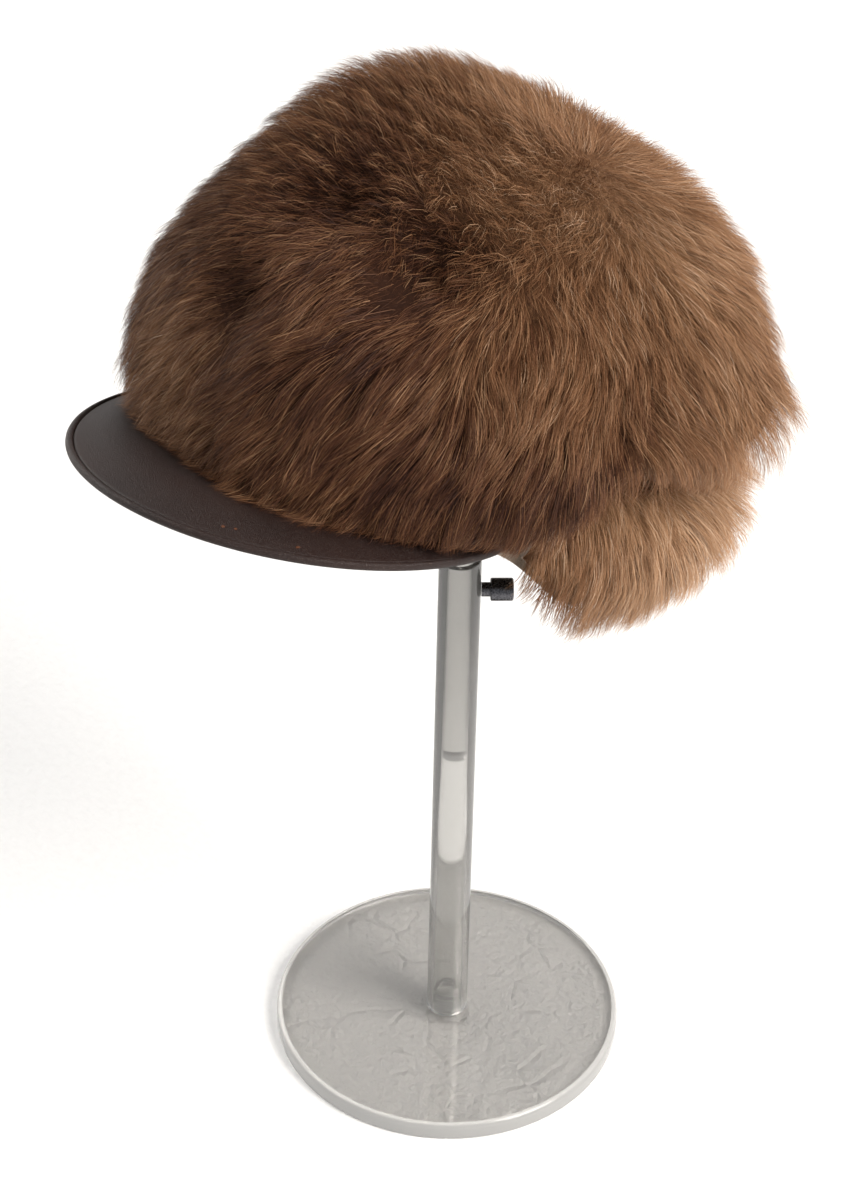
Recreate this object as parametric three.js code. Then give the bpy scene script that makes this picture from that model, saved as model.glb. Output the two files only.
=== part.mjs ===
// Pageboy hat of long fur with a leather peak, on its clear display stand.
// Millimetres, +Z up. The origin is the centre of the underside of the base disc.
// The front of the hat looks along -Y and the left side of its wearer is +X.
import * as THREE from "three";

const GAP = 0.3;

// Display stand
const DISC = { radius: 75, thickness: 8, bevel: 2.6 };
const TUBE = { radius: 8.8, bore: 6.5, top: 262, lip: 0.8 };
const PLUG = { radius: 6.1, height: 10 };
const ROD = { radius: 5.9, bottom: 156, top: 446.4 };
const SUPPORT = { radius: 30, thickness: 5, round: 2 };
const SCREW = { height: 244.5, stem: 3, knob: 4.8, knobLength: 9.5, stand: 3.6, azimuth: 48 };

// How the hat sits on the stand: tilted back, one side a little higher
const SEAT = { x: -3, y: -28, z: 336, tiltBack: 20, roll: -6 };

// Head opening
const BAND = { halfWidth: 80, halfLength: 98, wall: 2.2, frontBottom: -12, rearBottom: -45, top: 24, from: 66, to: 110 };
const SEAM = { front: -2, rear: 20, from: 64, to: 90 };

const HIDE = 2.0;
const BACKING = 2.6;

// Crown hide, a row for each level from its seam up
const CROWN_SECTIONS = [
  { z: -2, halfWidth: 82.6, halfLength: 100.6, x: 0, y: 0 },
  { z: 6, halfWidth: 97, halfLength: 105.5, x: 0, y: 2 },
  { z: 18, halfWidth: 112, halfLength: 111, x: 2, y: 7 },
  { z: 38, halfWidth: 117, halfLength: 114.5, x: 4, y: 13 },
  { z: 62, halfWidth: 106, halfLength: 110, x: 4, y: 12 },
  { z: 86, halfWidth: 90, halfLength: 98, x: 4, y: 13 },
  { z: 108, halfWidth: 71, halfLength: 75, x: 0, y: 11 },
  { z: 124, halfWidth: 47, halfLength: 46, x: -5, y: 8 },
  { z: 131, halfWidth: 24, halfLength: 23, x: -6, y: 7 },
];
const CROWN_APEX = new THREE.Vector3(-6, 7, 133.5);
const LIFT_ENDS = 60;
const CROWN_LEVELS = 12;

// Dents, creases and lobes of the crown: where, how deep (lobes are negative) and how wide
const CROWN_FOLDS = [
  { name: "centre dent", x: 47, y: -65, z: 96, depth: 14, spread: 18 },
  { name: "brow crease", x: -6, y: -96, z: 68, depth: 12, spread: 15 },
  { name: "brow hollow", x: 5, y: -68, z: 106, depth: 11, spread: 19 },
  { name: "side crease", x: 111, y: -14, z: 46, depth: 12, spread: 16 },
  { name: "right notch", x: -60, y: -36, z: 112, depth: 3, spread: 13 },
  { name: "rear notch", x: 24, y: 24, z: 129, depth: 4, spread: 13 },
  { name: "top lobe", x: -26, y: 2, z: 130, depth: -4, spread: 26 },
  { name: "left shoulder", x: 78, y: 40, z: 84, depth: -4, spread: 34 },
  { name: "rear crease", x: 40, y: 112, z: 40, depth: 7, spread: 18 },
  { name: "right temple crease", x: -104, y: 4, z: 52, depth: 8, spread: 17 },
];
const WHORL = new THREE.Vector3(47, -65, 96);

// Rear cuff, a row for each azimuth from the front of the hat
const CUFF_SECTIONS = [
  { azimuth: 80, bottom: -16, bulge: 6 },
  { azimuth: 92, bottom: -31, bulge: 15 },
  { azimuth: 112, bottom: -41, bulge: 27 },
  { azimuth: 137, bottom: -42, bulge: 34 },
  { azimuth: 180, bottom: -36, bulge: 30 },
];

// Swell of the cuff between its two seams: how full it is, how far up it is fullest, and how it tucks in at the seams
const CUFF_SWELL = { power: 0.55, rise: 1.25, tuck: 0.04 };

// Peak
const PEAK = { reach: 49.4, slope: 8.5, halfAngle: 79, thickness: 2.6, sideDrop: 3.6, rootZ: -3.2, endWidth: 5 };
const PEAK_CURVE = { power: 2.2, root: 0.6, outward: 0.45, camber: 2.2 };
const PEAK_COLUMNS = 38;
const PIPING = { radius: 1.7 };

// Locks of fur, which rise from their backing like shingles and end in points
const CROWN_LOCKS = { around: 24, rows: 7, height: 12, lean: 9, hang: 12 };
const CUFF_LOCKS = { along: 15, rows: 3, height: 12, lean: 8, hang: 13 };

// Cross sections of a lock from its root to its point: its height along its ridge and in the valleys beside it
const LOCK_SECTIONS = [
  { name: "root", along: 0.0, ridge: 0.12, valley: 0.3 },
  { name: "body", along: 0.5, ridge: 0.7, valley: 0.34 },
  { name: "point", along: 0.96, ridge: 1.0, valley: 0.2 },
];

const radians = THREE.MathUtils.degToRad;
const lerp = THREE.MathUtils.lerp;
const smooth = (x) => THREE.MathUtils.smoothstep(x, 0, 1);
const vec = (x, y, z) => new THREE.Vector3(x, y, z);

const seatMatrix = new THREE.Matrix4()
  .makeTranslation(SEAT.x, SEAT.y, SEAT.z)
  .multiply(new THREE.Matrix4().makeRotationX(radians(-SEAT.tiltBack)))
  .multiply(new THREE.Matrix4().makeRotationY(radians(SEAT.roll)));

// Value of one column at x, on a smooth curve through the rows of a table
function column(table, key, name, x) {
  let i = 0;
  while (i < table.length - 2 && x > table[i + 1][key]) i++;
  const a = table[i];
  const b = table[i + 1];
  const width = b[key] - a[key];
  const t = THREE.MathUtils.clamp((x - a[key]) / width, 0, 1);
  const slopeOf = (j) => {
    const lo = table[Math.max(j - 1, 0)];
    const hi = table[Math.min(j + 1, table.length - 1)];
    return (hi[name] - lo[name]) / (hi[key] - lo[key]);
  };
  const t2 = t * t;
  const t3 = t2 * t;
  return (
    (2 * t3 - 3 * t2 + 1) * a[name] +
    (t3 - 2 * t2 + t) * width * slopeOf(i) +
    (3 * t2 - 2 * t3) * b[name] +
    (t3 - t2) * width * slopeOf(i + 1)
  );
}

// Azimuths are in degrees from the front of the hat, positive toward the left side of the wearer
const sideOf = (azimuth) => Math.abs(THREE.MathUtils.euclideanModulo(azimuth + 180, 360) - 180);
const seamZ = (azimuth) =>
  lerp(SEAM.front, SEAM.rear, smooth((sideOf(azimuth) - SEAM.from) / (SEAM.to - SEAM.from)));

function bandPoint(azimuth, z, out = 0) {
  const a = radians(azimuth);
  return vec((BAND.halfWidth + out) * Math.sin(a), -(BAND.halfLength + out) * Math.cos(a), z);
}

// Levels of the crown, evenly spaced along its profile
const crownProfile = (() => {
  const rows = [];
  let run = 0;
  const steps = 120;
  const top = CROWN_SECTIONS.at(-1).z;
  let last = null;
  for (let i = 0; i <= steps; i++) {
    const z = lerp(CROWN_SECTIONS[0].z, top, i / steps);
    const r = column(CROWN_SECTIONS, "z", "halfLength", z);
    if (last) run += Math.hypot(z - last.z, r - last.r);
    last = { z, r };
    rows.push({ run, z });
  }
  run += last.r;
  rows.push({ run, z: CROWN_APEX.z });
  return rows.map((row) => ({ t: row.run / run, z: row.z }));
})();

function crownBase(azimuth, t) {
  const a = radians(azimuth);
  const rows = crownProfile;
  const rim = rows.at(-2);
  if (t >= rim.t) {
    const s = Math.min((t - rim.t) / (1 - rim.t), 1);
    const top = CROWN_SECTIONS.at(-1);
    const r = 1 - s;
    return vec(
      CROWN_APEX.x + (top.x - CROWN_APEX.x + top.halfWidth * Math.sin(a)) * r,
      CROWN_APEX.y + (top.y - CROWN_APEX.y - top.halfLength * Math.cos(a)) * r,
      lerp(top.z, CROWN_APEX.z, 1 - r * r),
    );
  }
  let i = 1;
  while (rows[i].t < t) i++;
  const z = lerp(rows[i - 1].z, rows[i].z, (t - rows[i - 1].t) / (rows[i].t - rows[i - 1].t));
  const at = (name) => column(CROWN_SECTIONS, "z", name, z);
  const lift = (seamZ(azimuth) - SEAM.front) * (1 - smooth((z - SEAM.front) / LIFT_ENDS));
  return vec(at("x") + at("halfWidth") * Math.sin(a), at("y") - at("halfLength") * Math.cos(a), z + lift);
}

// Unit normal of a surface given as a function of azimuth and t, pointing out of the hat
function normalOf(surface, azimuth, t, step = 0.012) {
  const t0 = Math.max(t - step, 0);
  const t1 = Math.min(t + step, 0.985);
  const along = surface(azimuth + 1.5, Math.min(t, 0.985)).sub(surface(azimuth - 1.5, Math.min(t, 0.985)));
  const up = surface(azimuth, t1).sub(surface(azimuth, t0));
  if (t > 0.98) return vec(0, 0, 1);
  return along.cross(up).normalize();
}

function foldDepth(p) {
  let depth = 0;
  for (const fold of CROWN_FOLDS) {
    const d = Math.hypot(p.x - fold.x, p.y - fold.y, p.z - fold.z) / fold.spread;
    depth += fold.depth * Math.exp(-d * d);
  }
  return depth;
}

// Point of the crown, out from the outside of its hide
function crownPoint(azimuth, t, out = 0) {
  const p = crownBase(azimuth, t);
  const n = normalOf(crownBase, azimuth, t);
  return p.addScaledVector(n, out - foldDepth(p));
}

// Point of the cuff, which bulges from the foot of the band back to the band under the crown
function cuffBase(azimuth, t) {
  const side = sideOf(azimuth);
  const bottom = column(CUFF_SECTIONS, "azimuth", "bottom", side);
  const bulge = column(CUFF_SECTIONS, "azimuth", "bulge", side);
  const top = seamZ(azimuth) - 3;
  const { power, rise, tuck } = CUFF_SWELL;
  const swell = Math.max(Math.sin(Math.PI * t ** rise), 0) ** power - tuck * (t ** 6 + (1 - t) ** 6);
  return bandPoint(azimuth, lerp(bottom, top, t), HIDE + 0.5 + bulge * swell);
}

function cuffPoint(azimuth, t, out = 0) {
  const n = normalOf(cuffBase, azimuth, THREE.MathUtils.clamp(t, 0.03, 0.97));
  return cuffBase(azimuth, t).addScaledVector(n, out);
}

// Solid between two skins over a grid of (u, v) in 0 to 1. With round, u closes on itself. With pole, v = 1 is one point.
function shell(outer, inner, nu, nv, { round = false, pole = false, innerLevels = nv } = {}) {
  const points = [];
  const cells = [];
  const columns = round ? nu : nu + 1;
  const layer = (skin, steps) => {
    const start = points.length;
    const levels = pole ? steps : steps + 1;
    for (let j = 0; j < levels; j++)
      for (let i = 0; i < columns; i++) points.push(skin(i / nu, j / steps));
    const tip = pole ? points.push(skin(0, 1)) - 1 : -1;
    return (i, j) => (pole && j === steps ? tip : start + j * columns + (i % columns));
  };
  const a = layer(outer, nv);
  const b = layer(inner, innerLevels);
  const quad = (p, q, r, s) => {
    if (p !== q && q !== r && p !== r) cells.push(p, q, r);
    if (p !== r && r !== s && p !== s) cells.push(p, r, s);
  };
  for (let i = 0; i < nu; i++) {
    for (let j = 0; j < nv; j++) quad(a(i, j), a(i + 1, j), a(i + 1, j + 1), a(i, j + 1));
    for (let j = 0; j < innerLevels; j++) quad(b(i, j), b(i, j + 1), b(i + 1, j + 1), b(i + 1, j));
    quad(a(i, 0), b(i, 0), b(i + 1, 0), a(i + 1, 0));
    if (!pole) quad(a(i, nv), a(i + 1, nv), b(i + 1, innerLevels), b(i, innerLevels));
  }
  if (!round)
    for (let j = 0; j < nv; j++) {
      quad(a(0, j), a(0, j + 1), b(0, j + 1), b(0, j));
      quad(a(nu, j), b(nu, j), b(nu, j + 1), a(nu, j + 1));
    }
  return solidFrom(points, cells);
}

function solidFrom(points, cells) {
  let volume = 0;
  for (let k = 0; k < cells.length; k += 3) {
    const [a, b, c] = [points[cells[k]], points[cells[k + 1]], points[cells[k + 2]]];
    volume += a.dot(b.clone().cross(c));
  }
  const index = [];
  for (let k = 0; k < cells.length; k += 3)
    index.push(cells[k], ...(volume < 0 ? [cells[k + 2], cells[k + 1]] : [cells[k + 1], cells[k + 2]]));
  const geometry = new THREE.BufferGeometry().setFromPoints(points);
  geometry.setIndex(index);
  return geometry;
}

// Spread of numbers from 0 to 1 that looks irregular and is always the same
const scatter = (n) => (Math.abs(n) * 0.6180339887) % 1;

// Outer skin of a coat of locks. Columns are ridges and valleys in turn, and each row of locks is set off by one column.
function coat(base, axisOf, locks, columns, flow, keep, heightAt) {
  const sections = LOCK_SECTIONS.length;
  const levels = locks.rows * sections;
  const skin = (azimuth, column, level, top) => {
    const row = Math.floor(level / sections);
    const rim = level === levels;
    const section = rim ? LOCK_SECTIONS[0] : LOCK_SECTIONS[sections - 1 - (level % sections)];
    const ridge = (column + row) % 2 === 0;
    const t = rim ? 1 : (row + (1 - section.along) * 0.98) / (locks.rows + (top ? 0 : 0.1));
    const chance = scatter(column * 7 + row * 13 + 1);
    const point = base(azimuth, t);
    const axis = axisOf(azimuth, t);
    const along = flow(point).projectOnPlane(axis).normalize();
    const share = (ridge ? section.ridge : section.valley) * lerp(0.8, 1.15, chance);
    const full = heightAt(point);
    const end = section.name === "point";
    const hang = level === 0 ? locks.hang * (ridge ? 1 : 0.35) * lerp(0.75, 1.15, chance) : 0;
    const room = base(azimuth, Math.max(t - 0.45 / locks.rows, 0)).distanceTo(point);
    const lean = end && ridge ? Math.min(locks.lean * full * full * lerp(0.7, 1.1, chance), room) : 0;
    point.addScaledVector(axis, GAP + BACKING + locks.height * share * full);
    return keep(point.addScaledVector(along, Math.max(lean, hang)));
  };
  return { skin, levels, columns };
}

// Directions of the fur
function crownFlow(p) {
  const away = p.clone().sub(WHORL);
  const far = away.length();
  const down = vec(0, 0, -1).multiplyScalar(0.25 + 0.9 * smooth((far - 30) / 90));
  return away.normalize().add(down);
}
const cuffFlow = (p) => vec(0.12 * Math.sign(p.x), 0.25, -1);

// Fur of the crown stays over the peak and over the cuff, and that of the cuff stays under the crown
function azimuthOf(p) {
  return THREE.MathUtils.radToDeg(Math.atan2(p.x / BAND.halfWidth, -p.y / BAND.halfLength));
}
function keepAboveSeam(p) {
  p.z = Math.max(p.z, seamZ(azimuthOf(p)) + 0.1);
  return p;
}
function keepBelowSeam(p) {
  p.z = Math.min(p.z, seamZ(azimuthOf(p)) - 1.6);
  return p;
}

// Direction in which a coat rises, which is level where the coat meets the seam
function crownAxis(azimuth, t) {
  const n = normalOf(crownBase, azimuth, t);
  n.z = Math.max(n.z, lerp(0, -1, smooth(t / 0.12)));
  return n.normalize();
}
function cuffAxis(azimuth, t) {
  const n = normalOf(cuffBase, azimuth, THREE.MathUtils.clamp(t, 0.03, 0.97));
  n.z = Math.min(n.z, lerp(0, 1, smooth((1 - t) / 0.5)));
  return n.normalize();
}

function crownSkin() {
  const skin = (out) => (u, v) => crownPoint(360 * u, v, out);
  return shell(skin(0), skin(-HIDE), 2 * CROWN_LOCKS.around, CROWN_LEVELS, { round: true, pole: true });
}

function crownFur() {
  const surface = (azimuth, t) => crownPoint(azimuth, Math.min(t, 0.985));
  const heightAt = (p) =>
    lerp(0.35, 1, smooth((p.distanceTo(WHORL) - 12) / 30)) *
    lerp(0.5, 1, smooth((p.distanceTo(CROWN_APEX) - 6) / 24)) *
    lerp(0.55, 1, smooth((p.z + 2) / 20));
  const columns = 2 * CROWN_LOCKS.around;
  const coatOf = coat(surface, crownAxis, CROWN_LOCKS, columns, crownFlow, keepAboveSeam, heightAt);
  const outer = (u, v) => {
    const level = Math.round(v * coatOf.levels);
    if (level >= coatOf.levels) return crownPoint(0, 1, GAP + BACKING + 3);
    return coatOf.skin(360 * u, Math.round(u * columns), level, true);
  };
  const inner = (u, v) => crownPoint(360 * u, v, GAP);
  return shell(outer, inner, columns, coatOf.levels, { round: true, pole: true, innerLevels: CROWN_LEVELS });
}

const CUFF_FROM = CUFF_SECTIONS[0].azimuth;
const cuffAzimuth = (u) => lerp(CUFF_FROM, 360 - CUFF_FROM, u);

function cuffSkin() {
  const skin = (out) => (u, v) => cuffPoint(cuffAzimuth(u), v, out);
  return shell(skin(0), skin(-HIDE), 2 * CUFF_LOCKS.along, CUFF_LOCKS.rows * LOCK_SECTIONS.length);
}

function cuffFur() {
  const inset = (u) => lerp(0.004, 0.996, u);
  const level = (t) => lerp(0.02, 0.95, t);
  const surface = (azimuth, t) => cuffPoint(azimuth, level(t));
  const axisOf = (azimuth, t) => cuffAxis(azimuth, level(t));
  const heightAt = (p) => lerp(0.35, 1, smooth((sideOf(azimuthOf(p)) - 78) / 28));
  const columns = 2 * CUFF_LOCKS.along;
  const coatOf = coat(surface, axisOf, CUFF_LOCKS, columns, cuffFlow, keepBelowSeam, heightAt);
  const outer = (u, v) => coatOf.skin(cuffAzimuth(inset(u)), Math.round(u * columns), Math.round(v * coatOf.levels), false);
  const inner = (u, v) => cuffPoint(cuffAzimuth(u), v, GAP);
  return shell(outer, inner, columns, coatOf.levels);
}

function headband() {
  const bottom = (azimuth) =>
    lerp(BAND.frontBottom, BAND.rearBottom, smooth((sideOf(azimuth) - BAND.from) / (BAND.to - BAND.from)));
  const wall = (out) => (u, v) => bandPoint(360 * u, lerp(bottom(360 * u), BAND.top, v), out);
  return shell(wall(0), wall(-BAND.wall), 44, 2, { round: true });
}

// Top face of the peak: u runs along the band, v from the band to the edge
function peakPoint(u, v, drop = 0, extra = 0) {
  const azimuth = lerp(-PEAK.halfAngle, PEAK.halfAngle, u);
  const share = Math.abs(azimuth) / PEAK.halfAngle;
  const root = bandPoint(azimuth, PEAK.rootZ, GAP);
  const a = radians(azimuth);
  const out = vec(Math.sin(a) / BAND.halfWidth, -Math.cos(a) / BAND.halfLength, 0).normalize();
  out.multiplyScalar(PEAK_CURVE.outward).add(vec(0, PEAK_CURVE.outward - 1, 0)).normalize();
  const full = (PEAK.reach - PEAK.endWidth) * Math.max(1 - share ** PEAK_CURVE.power, 0) ** PEAK_CURVE.root;
  const reach = PEAK.endWidth + full;
  const edgeZ = -reach * Math.sin(radians(PEAK.slope)) - PEAK.sideDrop * share * share;
  const z = lerp(PEAK.rootZ, edgeZ, v) + PEAK_CURVE.camber * Math.sin(Math.PI * v) * (reach / PEAK.reach);
  root.addScaledVector(out, (reach * v + extra) * Math.cos(radians(PEAK.slope)));
  root.z = z - drop;
  return root;
}

function peak() {
  return shell((u, v) => peakPoint(u, v), (u, v) => peakPoint(u, v, PEAK.thickness), PEAK_COLUMNS, 5);
}

function peakPiping() {
  const ring = (across) => (u, v) => {
    const centre = peakPoint(u, 1, PEAK.thickness / 2, PIPING.radius + GAP);
    const toward = peakPoint(u, 1, 0, 1).sub(peakPoint(u, 1));
    toward.z = 0;
    toward.normalize();
    const turn = Math.PI * v;
    return centre
      .addScaledVector(toward, across * PIPING.radius * Math.sin(turn))
      .add(vec(0, 0, PIPING.radius * Math.cos(turn)));
  };
  const columns = PEAK_COLUMNS;
  const around = 8;
  const points = [];
  const cells = [];
  for (let i = 0; i <= columns; i++)
    for (let k = 0; k < around; k++) {
      const v = (2 * k) / around;
      points.push(v <= 1 ? ring(1)(i / columns, v) : ring(-1)(i / columns, 2 - v));
    }
  for (let i = 0; i < columns; i++)
    for (let k = 0; k < around; k++) {
      const [p, q] = [i * around + k, i * around + ((k + 1) % around)];
      cells.push(p, q, q + around, p, q + around, p + around);
    }
  for (let k = 1; k < around - 1; k++) {
    cells.push(0, k + 1, k);
    cells.push(columns * around, columns * around + k, columns * around + k + 1);
  }
  return solidFrom(points, cells);
}

// Turned pieces of the stand, from profiles of [radius, z]
function turned(profile, segments = 36) {
  const geometry = new THREE.LatheGeometry(profile.map(([r, z]) => new THREE.Vector2(r, z)), segments);
  return geometry.rotateX(Math.PI / 2);
}

function baseDisc() {
  const { radius: r, thickness: h, bevel: b } = DISC;
  return turned([[0, 0], [r - 1, 0], [r, 1], [r, h - b], [r - 0.3 * b, h - 0.3 * b], [r - b, h], [0, h]], 52);
}

function outerTube() {
  const { radius: r, bore: i, top, lip } = TUBE;
  const z = DISC.thickness + GAP / 2;
  return turned([[i, z], [r, z], [r, top - lip], [r - lip, top], [i + lip / 2, top], [i, top - lip], [i, z]]);
}

const footPlug = () => {
  const z = DISC.thickness + GAP / 2;
  return turned([[0, z], [PLUG.radius, z], [PLUG.radius, z + PLUG.height], [0, z + PLUG.height]], 24);
};

const innerRod = () =>
  turned([[0, ROD.bottom], [ROD.radius - 0.4, ROD.bottom], [ROD.radius, ROD.bottom + 0.4], [ROD.radius, ROD.top], [0, ROD.top]], 28);

function hatSupport() {
  const { radius: r, thickness: h, round: c } = SUPPORT;
  const z = ROD.top + GAP / 2;
  return turned([[0, z], [r - c, z], [r, z + c], [r, z + h - c], [r - c, z + h], [0, z + h]], 36);
}

function thumbscrew() {
  const { stem, knob: k, knobLength: l, stand: s, height } = SCREW;
  const start = TUBE.radius + GAP / 2;
  const profile = [
    [0, start], [stem, start], [stem, start + s], [k - 0.8, start + s], [k, start + s + 0.8],
    [k, start + s + l - 0.8], [k - 0.8, start + s + l], [0, start + s + l],
  ];
  return turned(profile, 24)
    .rotateY(Math.PI / 2)
    .rotateZ(radians(SCREW.azimuth))
    .translate(0, 0, height);
}

const finish = (color, roughness, metalness = 0) => new THREE.MeshStandardMaterial({ color, roughness, metalness });
const FUR = finish("#7d5b40", 0.9);
const HIDE_BACK = finish("#8f7f6c", 0.9);
const LEATHER = finish("#3a2b25", 0.55);
const ACRYLIC = finish("#d9dcdc", 0.08);
const CHROME = finish("#55555a", 0.25, 1);

const part = new THREE.Group();
part.name = "pageboy_hat";

function place(name, geometry, material, onHat = true) {
  if (onHat) geometry.applyMatrix4(seatMatrix);
  const mesh = new THREE.Mesh(geometry, material.clone());
  mesh.name = name;
  part.add(mesh);
}

place("crown_hide", crownSkin(), HIDE_BACK);
place("crown_fur", crownFur(), FUR);
place("rear_cuff", cuffSkin(), HIDE_BACK);
place("rear_cuff_fur", cuffFur(), FUR);
place("headband", headband(), HIDE_BACK);
place("peak", peak(), LEATHER);
place("peak_piping", peakPiping(), LEATHER);
place("base_disc", baseDisc(), ACRYLIC, false);
place("outer_tube", outerTube(), ACRYLIC, false);
place("foot_plug", footPlug(), ACRYLIC, false);
place("inner_rod", innerRod(), ACRYLIC, false);
place("hat_support", hatSupport(), ACRYLIC, false);
place("thumbscrew", thumbscrew(), CHROME, false);

export default part;
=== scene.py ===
"""Dresses the fur pageboy hat and its clear display stand, and sets up the studio around them."""

import logging
import math
from dataclasses import dataclass, field
from enum import Enum
from typing import Any, Callable, ClassVar, NamedTuple, Sequence

import bpy
import numpy as np
from mathutils import Matrix, Vector, noise


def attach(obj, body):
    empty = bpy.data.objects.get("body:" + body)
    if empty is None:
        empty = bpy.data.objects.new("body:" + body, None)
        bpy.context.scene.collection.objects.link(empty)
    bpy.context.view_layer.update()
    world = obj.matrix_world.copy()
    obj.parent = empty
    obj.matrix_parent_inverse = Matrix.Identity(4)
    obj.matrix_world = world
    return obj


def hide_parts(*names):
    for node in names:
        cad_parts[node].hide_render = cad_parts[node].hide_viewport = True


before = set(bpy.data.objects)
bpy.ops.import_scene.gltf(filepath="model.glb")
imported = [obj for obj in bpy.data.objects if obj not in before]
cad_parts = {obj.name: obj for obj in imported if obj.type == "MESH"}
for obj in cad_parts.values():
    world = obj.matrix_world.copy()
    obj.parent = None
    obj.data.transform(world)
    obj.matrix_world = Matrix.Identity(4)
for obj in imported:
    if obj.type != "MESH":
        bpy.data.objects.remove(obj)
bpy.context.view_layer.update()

LOG = logging.getLogger("pageboy_hat")
MM = 0.001
GAP = 0.3
SHARP_DEGREES = 38

Array = np.ndarray
Skin = Callable[[Array, Array], Array]
Surface = Callable[[Array, Array, Array | float], Array]
Faces = list[tuple[int, ...]]
Solid = tuple[Array, Faces]
Profile = list[tuple[float, float]]
Place = tuple[float, float, float]
Colour = tuple[float, float, float, float]
Node = bpy.types.Node
Socket = bpy.types.NodeSocket
Material = bpy.types.Material
Piece = bpy.types.Object


# Small helpers for numbers, colours and meshes


def smooth(value: Array | float) -> Array:
    """Smooth step from 0 to 1."""
    t = np.clip(value, 0.0, 1.0)
    return t * t * (3.0 - 2.0 * t)


def mix(low: Any, high: Any, share: Any) -> Any:
    """Value between two others, by share."""
    return low + (high - low) * share


def unit(vectors: Array) -> Array:
    """Vectors scaled to length 1."""
    return vectors / np.maximum(np.linalg.norm(vectors, axis=-1, keepdims=True), 1e-9)


def curve_through(keys: Sequence[float], values: Sequence[float], where: Array) -> Array:
    """Values on a smooth curve through the rows of a table.

    Args:
        keys: Rising positions of the rows.
        values: Value of each row.
        where: Positions to evaluate.

    Returns:
        One value for each position.
    """
    key = np.asarray(keys, float)
    value = np.asarray(values, float)
    slope = np.gradient(value)
    slope[1:-1] = (value[2:] - value[:-2]) / (key[2:] - key[:-2])
    slope[0] = (value[1] - value[0]) / (key[1] - key[0])
    slope[-1] = (value[-1] - value[-2]) / (key[-1] - key[-2])
    i = np.clip(np.searchsorted(key, where, side="right") - 1, 0, len(key) - 2)
    width = key[i + 1] - key[i]
    t = np.clip((where - key[i]) / width, 0.0, 1.0)
    t2 = t * t
    t3 = t2 * t
    start = (2 * t3 - 3 * t2 + 1) * value[i] + (t3 - 2 * t2 + t) * width * slope[i]
    end = (3 * t2 - 2 * t3) * value[i + 1] + (t3 - t2) * width * slope[i + 1]
    return start + end


def linear(red: int, green: int, blue: int) -> Colour:
    """Scene colour of an 8-bit display colour."""
    parts = [c / 255.0 for c in (red, green, blue)]
    out = [c / 12.92 if c <= 0.04045 else ((c + 0.055) / 1.055) ** 2.4 for c in parts]
    return (out[0], out[1], out[2], 1.0)


def linked(name: str, data: Any) -> Piece:
    """New object with this data, linked to the scene."""
    piece = bpy.data.objects.new(name, data)
    bpy.context.scene.collection.objects.link(piece)
    return piece


def mesh_object(name: str, points: Array, faces: Faces, material: Material) -> Piece:
    """Object made of points and faces, in metres, with smooth shading except at sharp corners.

    Args:
        name: Name of the piece.
        points: Corner positions.
        faces: Corner indices of each face.
        material: Finish of the piece.

    Returns:
        The new object, linked to the scene.
    """
    mesh = bpy.data.meshes.new(name)
    mesh.from_pydata([tuple(p) for p in points], [], faces)
    mesh.validate()
    mesh.shade_smooth()
    mesh.set_sharp_from_angle(angle=math.radians(SHARP_DEGREES))
    mesh.materials.append(material)
    return linked(name, mesh)


def outward(points: Array, faces: Faces) -> Faces:
    """Faces of a closed form, turned round if they point inwards."""
    volume = 0.0
    for face in faces:
        a = points[face[0]]
        for b, c in zip(face[1:-1], face[2:]):
            volume += float(np.dot(a, np.cross(points[b], points[c])))
    return faces if volume > 0 else [tuple(reversed(face)) for face in faces]


def shell(outer: Skin, inner: Skin, across: int, up: int, closed: bool, pole: bool) -> Solid:
    """Closed wall between two skins over a grid of u and v from 0 to 1.

    Args:
        outer: Outer skin.
        inner: Inner skin.
        across: Cells along u.
        up: Cells along v.
        closed: Whether u closes on itself.
        pole: Whether v = 1 is a single point.

    Returns:
        Points and faces, with the faces outwards.
    """
    columns = across if closed else across + 1
    levels = up if pole else up + 1
    u, v = np.meshgrid(np.arange(columns) / across, np.arange(levels) / up)
    skins = []
    for skin in (outer, inner):
        skins.append(skin(u.ravel(), v.ravel()))
        if pole:
            skins.append(skin(np.zeros(1), np.ones(1)))
    points = np.concatenate(skins)
    faces: Faces = []

    def index(side: int, i: int, j: int) -> int:
        """Index of a grid point of one skin."""
        start = side * (len(points) // 2)
        return start + (levels * columns if pole and j == up else j * columns + i % columns)

    def add(*corners: tuple[int, int, int]) -> None:
        """Adds a face unless it has no area."""
        found = [index(*corner) for corner in corners]
        kept = [c for k, c in enumerate(found) if c != found[k - 1]]
        if len(kept) > 2:
            faces.append(tuple(kept))

    for i in range(across):
        k = i + 1
        for j in range(up):
            add((0, i, j), (0, k, j), (0, k, j + 1), (0, i, j + 1))
            add((1, i, j), (1, i, j + 1), (1, k, j + 1), (1, k, j))
        add((0, i, 0), (1, i, 0), (1, k, 0), (0, k, 0))
        if not pole:
            add((0, i, up), (0, k, up), (1, k, up), (1, i, up))
    if not closed:
        for j in range(up):
            add((0, 0, j), (0, 0, j + 1), (1, 0, j + 1), (1, 0, j))
            add((0, across, j), (1, across, j), (1, across, j + 1), (0, across, j + 1))
    return points, outward(points, faces)


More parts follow.
